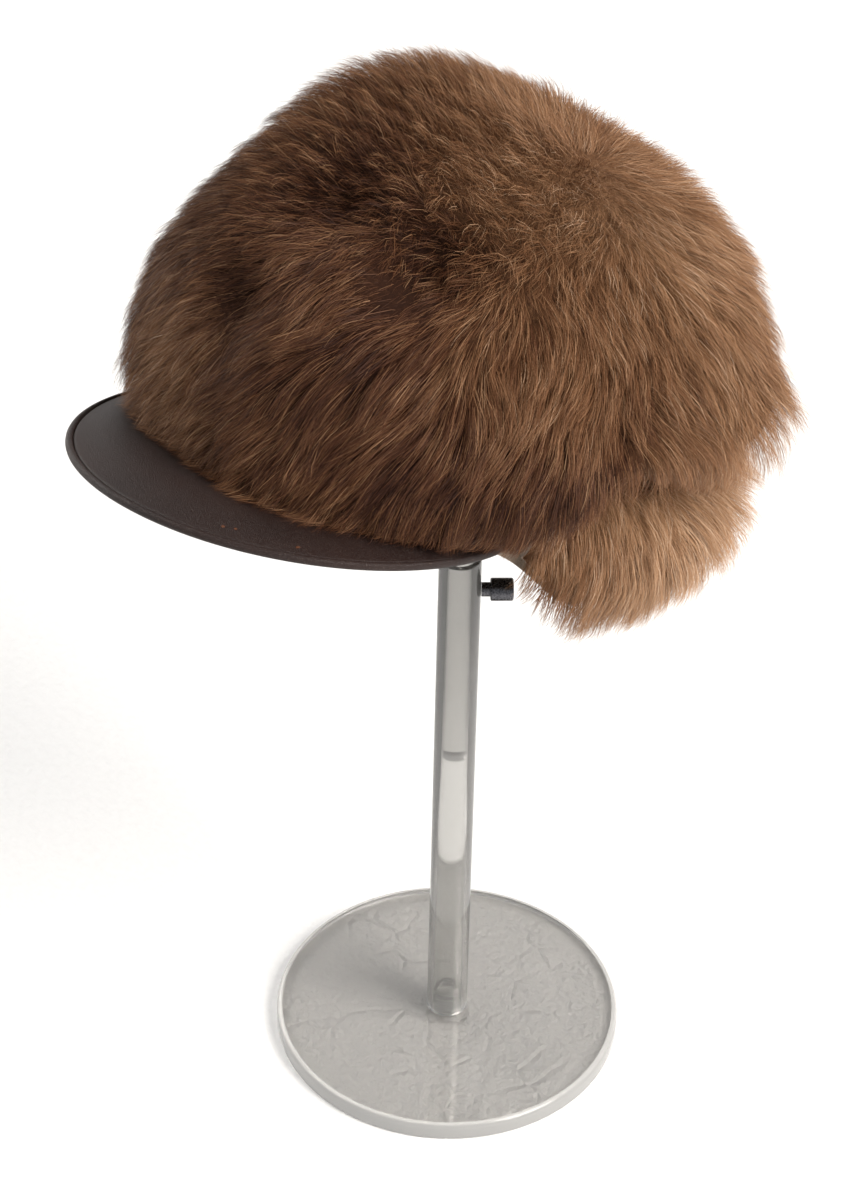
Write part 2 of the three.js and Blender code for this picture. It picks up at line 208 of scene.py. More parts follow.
def corner(radius: float, height: float, size: float, start: int, steps: int) -> Profile:
    """Rounded corner of a turned profile.

    Args:
        radius: Radius of the sharp corner.
        height: Height of the sharp corner.
        size: Radius of the rounding.
        start: Angle at which its quarter turn starts, in degrees: -90, 0 or 90.
        steps: Steps of the quarter turn.

    Returns:
        Points of the corner.
    """
    middle = (radius + (size if start == 90 else -size), height + (size if start == -90 else -size))
    angles = [math.radians(mix(start, start + 90, k / steps)) for k in range(steps + 1)]
    return [(middle[0] + size * math.cos(a), middle[1] + size * math.sin(a)) for a in angles]


def turned(profile: Profile, segments: int) -> Solid:
    """Turned form about Z from a profile of radius and height. A profile off the axis closes on itself.

    Args:
        profile: Radius and height of each point.
        segments: Faces round the axis.

    Returns:
        Points and faces.
    """
    points: list[Place] = []
    rings: list[list[int]] = []
    for radius, height in profile:
        if radius < 1e-6:
            rings.append([len(points)] * segments)
            points.append((0.0, 0.0, height))
            continue
        rings.append([len(points) + k for k in range(segments)])
        for k in range(segments):
            a = 2 * math.pi * k / segments
            points.append((radius * math.cos(a), radius * math.sin(a), height))
    if profile[0][0] > 1e-6:
        rings.append(rings[0])
    faces: Faces = []
    for low, high in zip(rings[:-1], rings[1:]):
        for k in range(segments):
            corners = (low[k], low[(k + 1) % segments], high[(k + 1) % segments], high[k])
            kept = tuple(c for n, c in enumerate(corners) if c != corners[n - 1])
            if len(set(kept)) > 2:
                faces.append(kept)
    where = np.array(points)
    return where, outward(where, faces)


class Nodes:
    """Short way to add and join nodes in a tree."""

    def __init__(self, tree: bpy.types.NodeTree) -> None:
        """Keeps the tree that the nodes go into."""
        self.tree = tree

    def add(self, kind: str, inputs: dict[str, Any] | None = None, **settings: Any) -> Node:
        """Adds a node.

        Args:
            kind: Type of the node.
            inputs: Value or socket for each input, by name.
            **settings: Properties of the node.

        Returns:
            The new node.
        """
        node = self.tree.nodes.new(kind)
        for name, value in settings.items():
            setattr(node, name, value)
        self.join(node, inputs or {})
        return node

    def join(self, node: Node, inputs: dict[str, Any]) -> None:
        """Feeds inputs of a node, by name."""
        for name, value in inputs.items():
            self.feed(self.pick(node.inputs, name), value)

    def feed(self, socket: Socket, value: Any) -> None:
        """Links a socket to an input, or sets its value."""
        if isinstance(value, Socket):
            self.tree.links.new(value, socket)
        else:
            socket.default_value = value

    @staticmethod
    def pick(sockets: Any, name: str) -> Socket:
        """First enabled socket of that name."""
        return next(s for s in sockets if s.enabled and s.name == name)

    @staticmethod
    def out(node: Node) -> Socket:
        """First enabled output of a node."""
        return next(s for s in node.outputs if s.enabled)

    def math(self, operation: str, *values: Any) -> Socket:
        """Result of a maths node."""
        node = self.add("ShaderNodeMath", operation=operation)
        for socket, value in zip(node.inputs, values):
            self.feed(socket, value)
        return node.outputs[0]

    def product(self, *values: Any) -> Socket:
        """Product of numbers, from left to right."""
        result = values[0]
        for value in values[1:]:
            result = self.math("MULTIPLY", result, value)
        return result

    def vector(self, operation: str, *values: Any) -> Socket:
        """Result of a vector maths node."""
        node = self.add("ShaderNodeVectorMath", operation=operation)
        for socket, value in zip([s for s in node.inputs if s.enabled], values):
            self.feed(socket, value)
        return self.out(node)

    def scale(self, vector: Any, factor: Any) -> Socket:
        """Vector times a number."""
        return self.vector("SCALE", vector, factor)

    def total(self, *vectors: Any) -> Socket:
        """Sum of vectors."""
        result = vectors[0]
        for vector in vectors[1:]:
            result = self.vector("ADD", result, vector)
        return result

    def place(self) -> Socket:
        """Place on the object."""
        return self.add("ShaderNodeTexCoord").outputs["Object"]

    def noise(self, place: Any, scale: float, detail: float, output: str = "Fac") -> Socket:
        """Noise pattern at a place."""
        node = self.add("ShaderNodeTexNoise", {"Vector": place, "Scale": scale, "Detail": detail})
        return node.outputs[output]

    def cells(self, place: Any, scale: float) -> Socket:
        """Distance from the edges of a cell pattern."""
        node = self.add("ShaderNodeTexVoronoi", {"Vector": place, "Scale": scale}, feature="DISTANCE_TO_EDGE")
        return node.outputs["Distance"]

    def smoothed(self, value: Any, low: float, high: float) -> Socket:
        """Smooth step of a number between two limits."""
        limits = {"Value": value, "From Min": low, "From Max": high, "To Min": 0.0, "To Max": 1.0}
        return self.out(self.add("ShaderNodeMapRange", limits, interpolation_type="SMOOTHSTEP"))

    def ramp(self, factor: Any, *stops: tuple[float, Colour]) -> Socket:
        """Colour along a ramp.

        Args:
            factor: Place on the ramp.
            *stops: Position and colour of each stop.

        Returns:
            The colour socket.
        """
        node = self.add("ShaderNodeValToRGB", {"Fac": factor})
        elements = node.color_ramp.elements
        while len(elements) < len(stops):
            elements.new(0.5)
        for element, (position, colour) in zip(elements, stops):
            element.position = position
            element.color = colour
        return node.outputs["Color"]

    def coat(self, share: Any, under: Any, over: Any, blend: str = "MIX") -> Socket:
        """Colour with another over it, by share."""
        node = self.add("ShaderNodeMix", data_type="RGBA", blend_type=blend)
        for slot, value in ((0, share), (6, under), (7, over)):
            self.feed(node.inputs[slot], value)
        return node.outputs[2]

    def bump(self, height: Any, distance: float, strength: float = 1.0) -> Socket:
        """Normal of a surface raised by a height pattern."""
        inputs = {"Height": height, "Distance": distance, "Strength": strength}
        return self.add("ShaderNodeBump", inputs).outputs["Normal"]


# Finishes


class Slot(Enum):
    """Names of the material slots."""

    FUR = "fur"
    HIDE = "hide"
    PEAK_LEATHER = "peak_leather"
    CLEAR_ACRYLIC = "clear_acrylic"
    DARK_CHROME = "dark_chrome"


def dress(piece: Piece, node: str) -> None:
    """Rides a piece on the body in place of its node."""
    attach(piece, "root")
    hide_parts(node)
    LOG.info("%s built, with %d faces", piece.name, len(piece.data.polygons))


@dataclass(frozen=True)
class Finish:
    """Base of the finishes: a material with one main shader."""

    name: str = "finish"
    roughness: float = 0.9
    gloss: float = 0.5

    def material(self) -> Material:
        """Builds the material."""
        material = bpy.data.materials.new(self.name)
        material.use_nodes = True
        nodes = Nodes(material.node_tree)
        inputs = {"Roughness": self.roughness, "Specular IOR Level": self.gloss}
        nodes.join(material.node_tree.nodes["Principled BSDF"], inputs | self.inputs(nodes))
        return material

    def inputs(self, nodes: Nodes) -> dict[str, Any]:
        """Value or socket for each input of the shader that differs."""
        return {}


@dataclass(frozen=True)
class HairFinish(Finish):
    """Long brown hair: its tone, with painted light and shade in it, runs along U and its root to tip along V
    of its own map.
    """

    name: str = "brown_hair"
    roughness: float = 0.55
    gloss: float = 0.18

    def inputs(self, nodes: Nodes) -> dict[str, Any]:
        """Tone of the hair, darker toward its root: partly the hair's own darker root, partly painted shade
        between the hairs, deepest where the tone is low.
        """
        uv = nodes.add("ShaderNodeUVMap", uv_map="Strand").outputs["UV"]
        parts = nodes.add("ShaderNodeSeparateXYZ", {"Vector": uv}).outputs
        tone = nodes.ramp(
            parts["X"],
            (0.0, linear(46, 21, 12)),
            (0.3, linear(90, 55, 34)),
            (0.55, linear(134, 95, 65)),
            (0.8, linear(176, 138, 105)),
            (1.0, linear(212, 184, 158)),
        )
        root_tone_and_shade = nodes.ramp(
            parts["Y"],
            (0.0, (0.4, 0.35, 0.32, 1.0)),
            (0.45, (0.8, 0.79, 0.78, 1.0)),
            (1.0, (1.1, 1.1, 1.1, 1.0)),
        )
        # Painted shade: the root darkening is strongest where the tone is low
        share = nodes.math("MULTIPLY_ADD", nodes.smoothed(parts["X"], 0.3, 0.62), -0.55, 1.0)
        return {"Base Color": nodes.coat(share, tone, root_tone_and_shade, "MULTIPLY")}


@dataclass(frozen=True)
class UndercoatFinish(Finish):
    """Dense short hair at the foot of the long hair, toned by the tint attribute, which holds painted light
    and shade. It is darker than the long hair: partly the underfur's own tone, partly painted shade at the
    foot of the hair.
    """

    name: str = "under_hair"
    gloss: float = 0.1

    def inputs(self, nodes: Nodes) -> dict[str, Any]:
        """Tone and relief of the tufts."""
        place = nodes.place()
        tint = nodes.add("ShaderNodeAttribute", attribute_name="tint", attribute_type="GEOMETRY")
        tufts = nodes.noise(place, 420.0, 6.0)
        height = nodes.math("MULTIPLY_ADD", nodes.noise(place, 1400.0, 4.0), 0.5, tufts)
        colour = nodes.ramp(
            nodes.math("MULTIPLY_ADD", nodes.math("SUBTRACT", height, 0.75), 0.35, tint.outputs["Fac"]),
            (0.0, linear(24, 12, 8)),
            (0.3, linear(48, 28, 18)),
            (0.55, linear(98, 68, 46)),
            (0.8, linear(136, 103, 75)),
        )
        return {"Base Color": colour, "Normal": nodes.bump(height, 0.0012)}


@dataclass(frozen=True)
class HideFinish(Finish):
    """Suede side of the pelt, with a soft nap."""

    name: str = "pelt_suede"
    roughness: float = 0.92
    sheen: float = 0.35

    def inputs(self, nodes: Nodes) -> dict[str, Any]:
        """Clouded tone, sheen and nap."""
        place = nodes.place()
        cloud = nodes.noise(place, 34.0, 5.0)
        nap = nodes.noise(place, 1100.0, 5.0)
        share = nodes.math("MULTIPLY_ADD", nodes.math("SUBTRACT", nap, cloud), 0.35, cloud)
        colour = nodes.ramp(share, (0.3, linear(118, 102, 86)), (0.7, linear(160, 143, 124)))
        return {"Base Color": colour, "Sheen Weight": self.sheen, "Normal": nodes.bump(nap, 0.0004)}


@dataclass(frozen=True)
class LeatherFinish(Finish):
    """Dark brown peak leather with fine grain, small scuffs, dust and rust specks."""

    name: str = "peak_leather"
    gloss: float = 0.34
    specks: tuple[tuple[Place, float], ...] = ()

    def inputs(self, nodes: Nodes) -> dict[str, Any]:
        """Worn tone, clouded gloss and grain."""
        place = nodes.place()
        fine = nodes.noise(place, 900.0, 6.0)
        cloud = nodes.noise(place, 26.0, 5.0)
        pores = nodes.math("MINIMUM", nodes.cells(place, 1500.0), 0.14)
        grain = nodes.math("MULTIPLY_ADD", pores, 3.2, fine)
        colour = nodes.ramp(cloud, (0.3, linear(27, 13, 10)), (0.7, linear(38, 20, 15)))
        worn = nodes.product(nodes.smoothed(grain, 0.85, 1.25), 0.3)
        colour = nodes.coat(worn, colour, linear(70, 54, 47))
        dusty = nodes.product(nodes.smoothed(nodes.noise(place, 1900.0, 2.0), 0.62, 0.74), 0.35)
        colour = nodes.coat(dusty, colour, linear(124, 104, 92))
        ragged = nodes.math("SUBTRACT", fine, 0.5)
        for middle, radius in self.specks:
            edge = nodes.math("MULTIPLY_ADD", ragged, radius * 1.4, radius)
            depth = nodes.math("SUBTRACT", edge, nodes.vector("DISTANCE", place, middle))
            rusty = nodes.product(nodes.smoothed(depth, 0.0, radius * 0.7), 0.8)
            colour = nodes.coat(rusty, colour, linear(112, 66, 38))
        return {
            "Base Color": colour,
            "Roughness": nodes.math("MULTIPLY_ADD", cloud, 0.22, 0.38),
            "Normal": nodes.bump(grain, 0.00022, 0.9),
        }


@dataclass(frozen=True)
class AcrylicFinish(Finish):
    """Clear polished acrylic with faint hairline wear. What isn't clear in it is milky; on the rim of the
    disc that milkiness is painted light.
    """

    name: str = "clear_acrylic"
    tint: Colour = (0.76, 0.755, 0.74, 1.0)
    wear: float = 0.05
    clear: float = 1.0

    def inputs(self, nodes: Nodes) -> dict[str, Any]:
        """Tint, clearness and hairlines."""
        stretch = nodes.add("ShaderNodeMapping", {"Vector": nodes.place(), "Scale": (900.0, 900.0, 60.0)})
        lines = nodes.smoothed(nodes.noise(stretch.outputs["Vector"], 1.0, 3.0), 0.5, 0.8)
        return {
            "Base Color": self.tint,
            "Roughness": nodes.math("ADD", nodes.product(lines, self.wear), 0.015),
            "IOR": 1.49,
            "Transmission Weight": self.clear,
        }


@dataclass(frozen=True)
class ChromeFinish(Finish):
    """Dark polished metal of the thumbscrew, with turning marks."""

    name: str = "dark_chrome"

    def inputs(self, nodes: Nodes) -> dict[str, Any]:
        """Tone, gloss and relief of the marks."""
        marks = nodes.noise(nodes.place(), 1500.0, 4.0)
        return {
            "Base Color": nodes.ramp(marks, (0.35, linear(66, 66, 70)), (0.7, linear(104, 104, 108))),
            "Roughness": nodes.math("MULTIPLY_ADD", marks, 0.16, 0.2),
            "Metallic": 1.0,
            "Normal": nodes.bump(marks, 0.00005, 0.6),
        }


@dataclass(frozen=True)
class FloorFinish(Finish):
    """Plain pale studio floor, with creased cloth where the disc stands."""

    name: str = "pale_floor"
    cloth: tuple[float, float] = (0.068, 0.074)

    def inputs(self, nodes: Nodes) -> dict[str, Any]:
        """Pale tone, pebble grain and creases."""
        place = nodes.place()
        pebble = nodes.noise(place, 260.0, 4.0)
        shifted = nodes.total(place, nodes.scale(nodes.noise(place, 30.0, 2.0, "Color"), 0.012))
        fold = nodes.math("MINIMUM", nodes.cells(shifted, 48.0), 0.09)
        away = nodes.vector("DISTANCE", place, (0.0, 0.0, 0.0))
        under = nodes.math("SUBTRACT", 1.0, nodes.smoothed(away, *self.cloth))
        some = nodes.smoothed(nodes.noise(place, 30.0, 2.0), 0.4, 0.6)
        crease = nodes.product(nodes.product(fold, some), nodes.product(under, 6.0))
        grain = nodes.math("MULTIPLY_ADD", under, 0.7, 0.5)
        height = nodes.math("MULTIPLY_ADD", pebble, grain, crease)
        colour = nodes.ramp(pebble, (0.3, (0.9, 0.9, 0.9, 1.0)), (0.7, (0.93, 0.93, 0.93, 1.0)))
        return {"Base Color": colour, "Normal": nodes.bump(height, 0.0016)}


# Form of the hat, in millimetres of its own frame: front -Y, left side of the wearer +X


class Level(NamedTuple):
    """Level of the crown: its height, half sizes and centre."""

    z: float
    half_width: float
    half_length: float
    x: float
    y: float


class Fold(NamedTuple):
    """Dent or crease of the crown, or a lobe where its depth is negative."""

    x: float
    y: float
    z: float
    depth: float
    spread: float


class CuffRow(NamedTuple):
    """Section of the cuff: degrees from the front, height of its foot, and bulge."""

    side: float
    bottom: float
    bulge: float


@dataclass(frozen=True)
class Seat:
    """How the hat sits on the stand: tilted back, one side a little higher."""

    x: float = -3.0
    y: float = -28.0
    z: float = 336.0
    tilt_back: float = 20.0
    roll: float = -6.0

    def matrix(self) -> Matrix:
        """Matrix from the frame of the hat in millimetres to that of the part in metres."""
        tilt = Matrix.Rotation(math.radians(-self.tilt_back), 4, "X")
        roll = Matrix.Rotation(math.radians(self.roll), 4, "Y")
        shift = Matrix.Translation(Vector((self.x, self.y, self.z)))
        return Matrix.Scale(MM, 4) @ shift @ tilt @ roll

    def place(self, points: Array) -> Array:
        """Points of the hat in the frame of the part."""
        m = np.array(self.matrix())
        return points @ m[:3, :3].T + m[:3, 3]


@dataclass(frozen=True)
class HatForm:
    """Surfaces of the crown, cuff, band and peak."""

    band_half_width: float = 80.0
    band_half_length: float = 98.0
    band_wall: float = 2.2
    band_front_bottom: float = -12.0
    band_rear_bottom: float = -45.0
    band_top: float = 24.0
    band_from: float = 66.0
    band_to: float = 110.0
    seam_front: float = -2.0
    seam_rear: float = 20.0
    seam_from: float = 64.0
    seam_to: float = 90.0
    hide: float = 2.0
    lift_ends: float = 60.0
    levels: tuple[Level, ...] = (
        Level(-2, 82.6, 100.6, 0, 0),
        Level(6, 97, 105.5, 0, 2),
        Level(18, 112, 111, 2, 7),
        Level(38, 117, 114.5, 4, 13),
        Level(62, 106, 110, 4, 12),
        Level(86, 90, 98, 4, 13),
        Level(108, 71, 75, 0, 11),
        Level(124, 47, 46, -5, 8),
        Level(131, 24, 23, -6, 7),
    )
    apex: Place = (-6.0, 7.0, 133.5)
    centre_dent: Fold = Fold(47, -65, 96, 14, 18)
    brow_crease: Fold = Fold(-6, -96, 68, 12, 15)
    side_crease: Fold = Fold(111, -14, 46, 12, 16)
    other_folds: tuple[Fold, ...] = (
        Fold(5, -68, 106, 11, 19),
        Fold(-60, -36, 112, 3, 13),
        Fold(24, 24, 129, 4, 13),
        Fold(-26, 2, 130, -4, 26),
        Fold(78, 40, 84, -4, 34),
        Fold(40, 112, 40, 7, 18),
        Fold(-104, 4, 52, 8, 17),
    )
    whorl: Place = (45.0, 20.0, 131.0)
    cuff_rows: tuple[CuffRow, ...] = (
        CuffRow(80, -16, 6),
        CuffRow(92, -31, 15),
        CuffRow(112, -41, 27),
        CuffRow(137, -42, 34),
        CuffRow(180, -36, 30),
    )
    cuff_from: float = 80.0
    cuff_off_band: float = 0.5
    cuff_under_seam: float = 3.0
    cuff_power: float = 0.55
    cuff_rise: float = 1.25
    cuff_tuck: float = 0.04
    peak_reach: float = 49.4
    peak_slope: float = 8.5
    peak_half_angle: float = 79.0
    peak_thickness: float = 2.6
    peak_side_drop: float = 3.6
    peak_root: float = -3.2
    peak_end_width: float = 5.0
    peak_camber: float = 2.2
    peak_outward: float = 0.45
    peak_power: float = 2.2
    peak_root_power: float = 0.6

    def side(self, azimuth: Array) -> Array:
        """Degrees from the front of the hat, on either side."""
        return np.abs((azimuth + 180.0) % 360.0 - 180.0)

    def side_of(self, points: Array) -> Array:
        """Degrees from the front of the hat of points on it."""
        x = points[:, 0] / self.band_half_width
        y = -points[:, 1] / self.band_half_length
        return self.side(np.degrees(np.arctan2(x, y)))

    def seam(self, azimuth: Array) -> Array:
        """Height of the seam between crown and cuff."""
        back = smooth((self.side(azimuth) - self.seam_from) / (self.seam_to - self.seam_from))
        return mix(self.seam_front, self.seam_rear, back)

    def band(self, azimuth: Array, z: Array, out: Array | float) -> Array:
        """Point of the band, out from its outside."""
        a = np.radians(azimuth)
        x = (self.band_half_width + out) * np.sin(a)
        y = -(self.band_half_length + out) * np.cos(a)
        return np.stack(np.broadcast_arrays(x, y, z), axis=-1)

    def profile(self) -> tuple[Array, Array]:
        """Levels of the crown from 0 to 1 and their heights, evenly spaced along its side."""
        z = np.linspace(self.levels[0].z, self.levels[-1].z, 121)
        r = curve_through([row.z for row in self.levels], [row.half_length for row in self.levels], z)
        run = np.concatenate([[0.0], np.cumsum(np.hypot(np.diff(z), np.diff(r)))])
        run = np.append(run, run[-1] + r[-1])
        return run / run[-1], np.append(z, self.apex[2])

    def crown_base(self, azimuth: Array, t: Array) -> Array:
        """Smooth crown before its folds."""
        shares, heights = self.profile()
        a = np.radians(azimuth)
        rim = shares[-2]
        z = np.interp(np.minimum(t, rim), shares, heights)
        keys, *columns = zip(*self.levels)
        width, length, cx, cy = (curve_through(keys, column, z) for column in columns)
        raised = 1.0 - smooth((z - self.seam_front) / self.lift_ends)
        lift = (self.seam(azimuth) - self.seam_front) * raised
        low = np.stack([cx + width * np.sin(a), cy - length * np.cos(a), z + lift], axis=-1)
        r = 1.0 - np.clip((t - rim) / (1.0 - rim), 0.0, 1.0)
        top = self.levels[-1]
        x = self.apex[0] + (top.x - self.apex[0] + top.half_width * np.sin(a)) * r
        y = self.apex[1] + (top.y - self.apex[1] - top.half_length * np.cos(a)) * r
        cap = np.stack([x, y, mix(top.z, self.apex[2], 1.0 - r * r)], axis=-1)
        return np.where((t >= rim)[..., None], cap, low)

    def normal(self, surface: Skin, azimuth: Array, t: Array) -> Array:
        """Unit normal of a surface of azimuth and level, out of the hat."""
        step = 0.012
        last = 0.985
        level = np.minimum(t, last)
        along = surface(azimuth + 1.5, level) - surface(azimuth - 1.5, level)
        up = surface(azimuth, np.minimum(t + step, last)) - surface(azimuth, np.maximum(t - step, 0.0))
        return np.where((t > 0.98)[..., None], np.array([0.0, 0.0, 1.0]), unit(np.cross(along, up)))

    def crown(self, azimuth: Array, t: Array, out: Array | float) -> Array:
        """Point of the crown, out from the outside of its hide."""
        base = self.crown_base(azimuth, t)
        depth = np.zeros(len(base))
        for fold in (self.centre_dent, self.brow_crease, self.side_crease, *self.other_folds):
            away = np.linalg.norm(base - np.array(fold[:3]), axis=-1) / fold.spread
            depth += fold.depth * np.exp(-away * away)
        return base + self.normal(self.crown_base, azimuth, t) * (out - depth)[..., None]

    def cuff_base(self, azimuth: Array, t: Array) -> Array:
        """Cuff, which bulges from the foot of the band back to the band under the crown."""
        sides, *columns = zip(*self.cuff_rows)
        bottom, bulge = (curve_through(sides, column, self.side(azimuth)) for column in columns)
        top = self.seam(azimuth) - self.cuff_under_seam
        full = np.maximum(np.sin(math.pi * t**self.cuff_rise), 0.0) ** self.cuff_power
        swell = full - self.cuff_tuck * (t**6 + (1.0 - t) ** 6)
        return self.band(azimuth, mix(bottom, top, t), self.hide + self.cuff_off_band + bulge * swell)

    def cuff(self, azimuth: Array, t: Array, out: Array | float) -> Array:
        """Point of the cuff, out from the outside of its hide."""
        normal = self.normal(self.cuff_base, azimuth, np.clip(t, 0.03, 0.97))
        return self.cuff_base(azimuth, t) + normal * np.asarray(out)[..., None]

    def cuff_azimuth(self, u: Array) -> Array:
        """Azimuth along the cuff."""
        return mix(self.cuff_from, 360.0 - self.cuff_from, u)

    def peak(self, u: Array, v: Array, drop: Array | float, extra: Array | float) -> Array:
        """Point of the peak.

        Args:
            u: Place along the band.
            v: Place from the band to the edge.
            drop: How far it is below the top face.
            extra: How far it is beyond the edge.

        Returns:
            The points.
        """
        azimuth = mix(-self.peak_half_angle, self.peak_half_angle, u)
        share = np.abs(azimuth) / self.peak_half_angle
        a = np.radians(azimuth)
        root = self.band(azimuth, np.full_like(a, self.peak_root), GAP)
        around = [np.sin(a) / self.band_half_width, -np.cos(a) / self.band_half_length, 0 * a]
        ahead = np.array([0.0, self.peak_outward - 1.0, 0.0])
        out = unit(unit(np.stack(around, axis=-1)) * self.peak_outward + ahead)
        full = np.maximum(1.0 - share**self.peak_power, 0.0) ** self.peak_root_power
        reach = self.peak_end_width + (self.peak_reach - self.peak_end_width) * full
        slope = math.radians(self.peak_slope)
        edge = -reach * math.sin(slope) - self.peak_side_drop * share * share
        camber = self.peak_camber * np.sin(math.pi * v) * (reach / self.peak_reach)
        point = root + out * ((reach * v + extra) * math.cos(slope))[..., None]
        point[..., 2] = mix(self.peak_root, edge, v) + camber - drop
        return point


# Fur


@dataclass(frozen=True)
class HairStyle:
    """How the long hair grows on one part of the hat, in metres and hairs a square metre."""

    density: float = 1200000.0
    length: float = 0.0245
    width: float = 0.00022
    clumps: float = 46000.0
    pull: float = 0.6
    seed: int = 7


@dataclass(frozen=True)
class Growth:
    """Numbers of the hair tree, for how hair turns, leans, joins its lock, tapers and is toned."""

    drift_scale: float = 42.0
    drift_turn: float = 2.1
    least_turn: float = 0.2
    mess_turn: float = 1.7
    patch_scale: float = 75.0
    patch_reach: float = 0.5
    reach: tuple[float, float] = (0.72, 1.12)
    lean_start: tuple[float, float] = (0.15, 0.6)
    lean_end: tuple[float, float] = (1.2, 1.75)
    least_lean: float = 0.02
    loose_power: float = 0.7
    pull_gain: float = 1.35
    most_pull: float = 0.93
    pull_power: float = 1.15
    lock_stretch: float = 1.05
    sway: float = 0.07
    sway_power: float = 2.0
    twist: float = 0.95
    least_width: float = 0.33
    vary_width: float = 0.35
    taper_from: float = 1.02
    taper_power: float = 0.55
    band_mean: float = 0.09
    peak_fall: float = 0.115
    peak_rest: float = 0.0015
    peak_layers: float = 0.0022
    peak_push: float = 0.55
    guard_power: float = 7.0
    guard_tone: float = 0.3
    vary_dark: float = 1.85
    vary_pale: float = 1.9
    own_middle: float = 0.52
    own_tone: float = 0.22
    lock_tone: float = 0.17


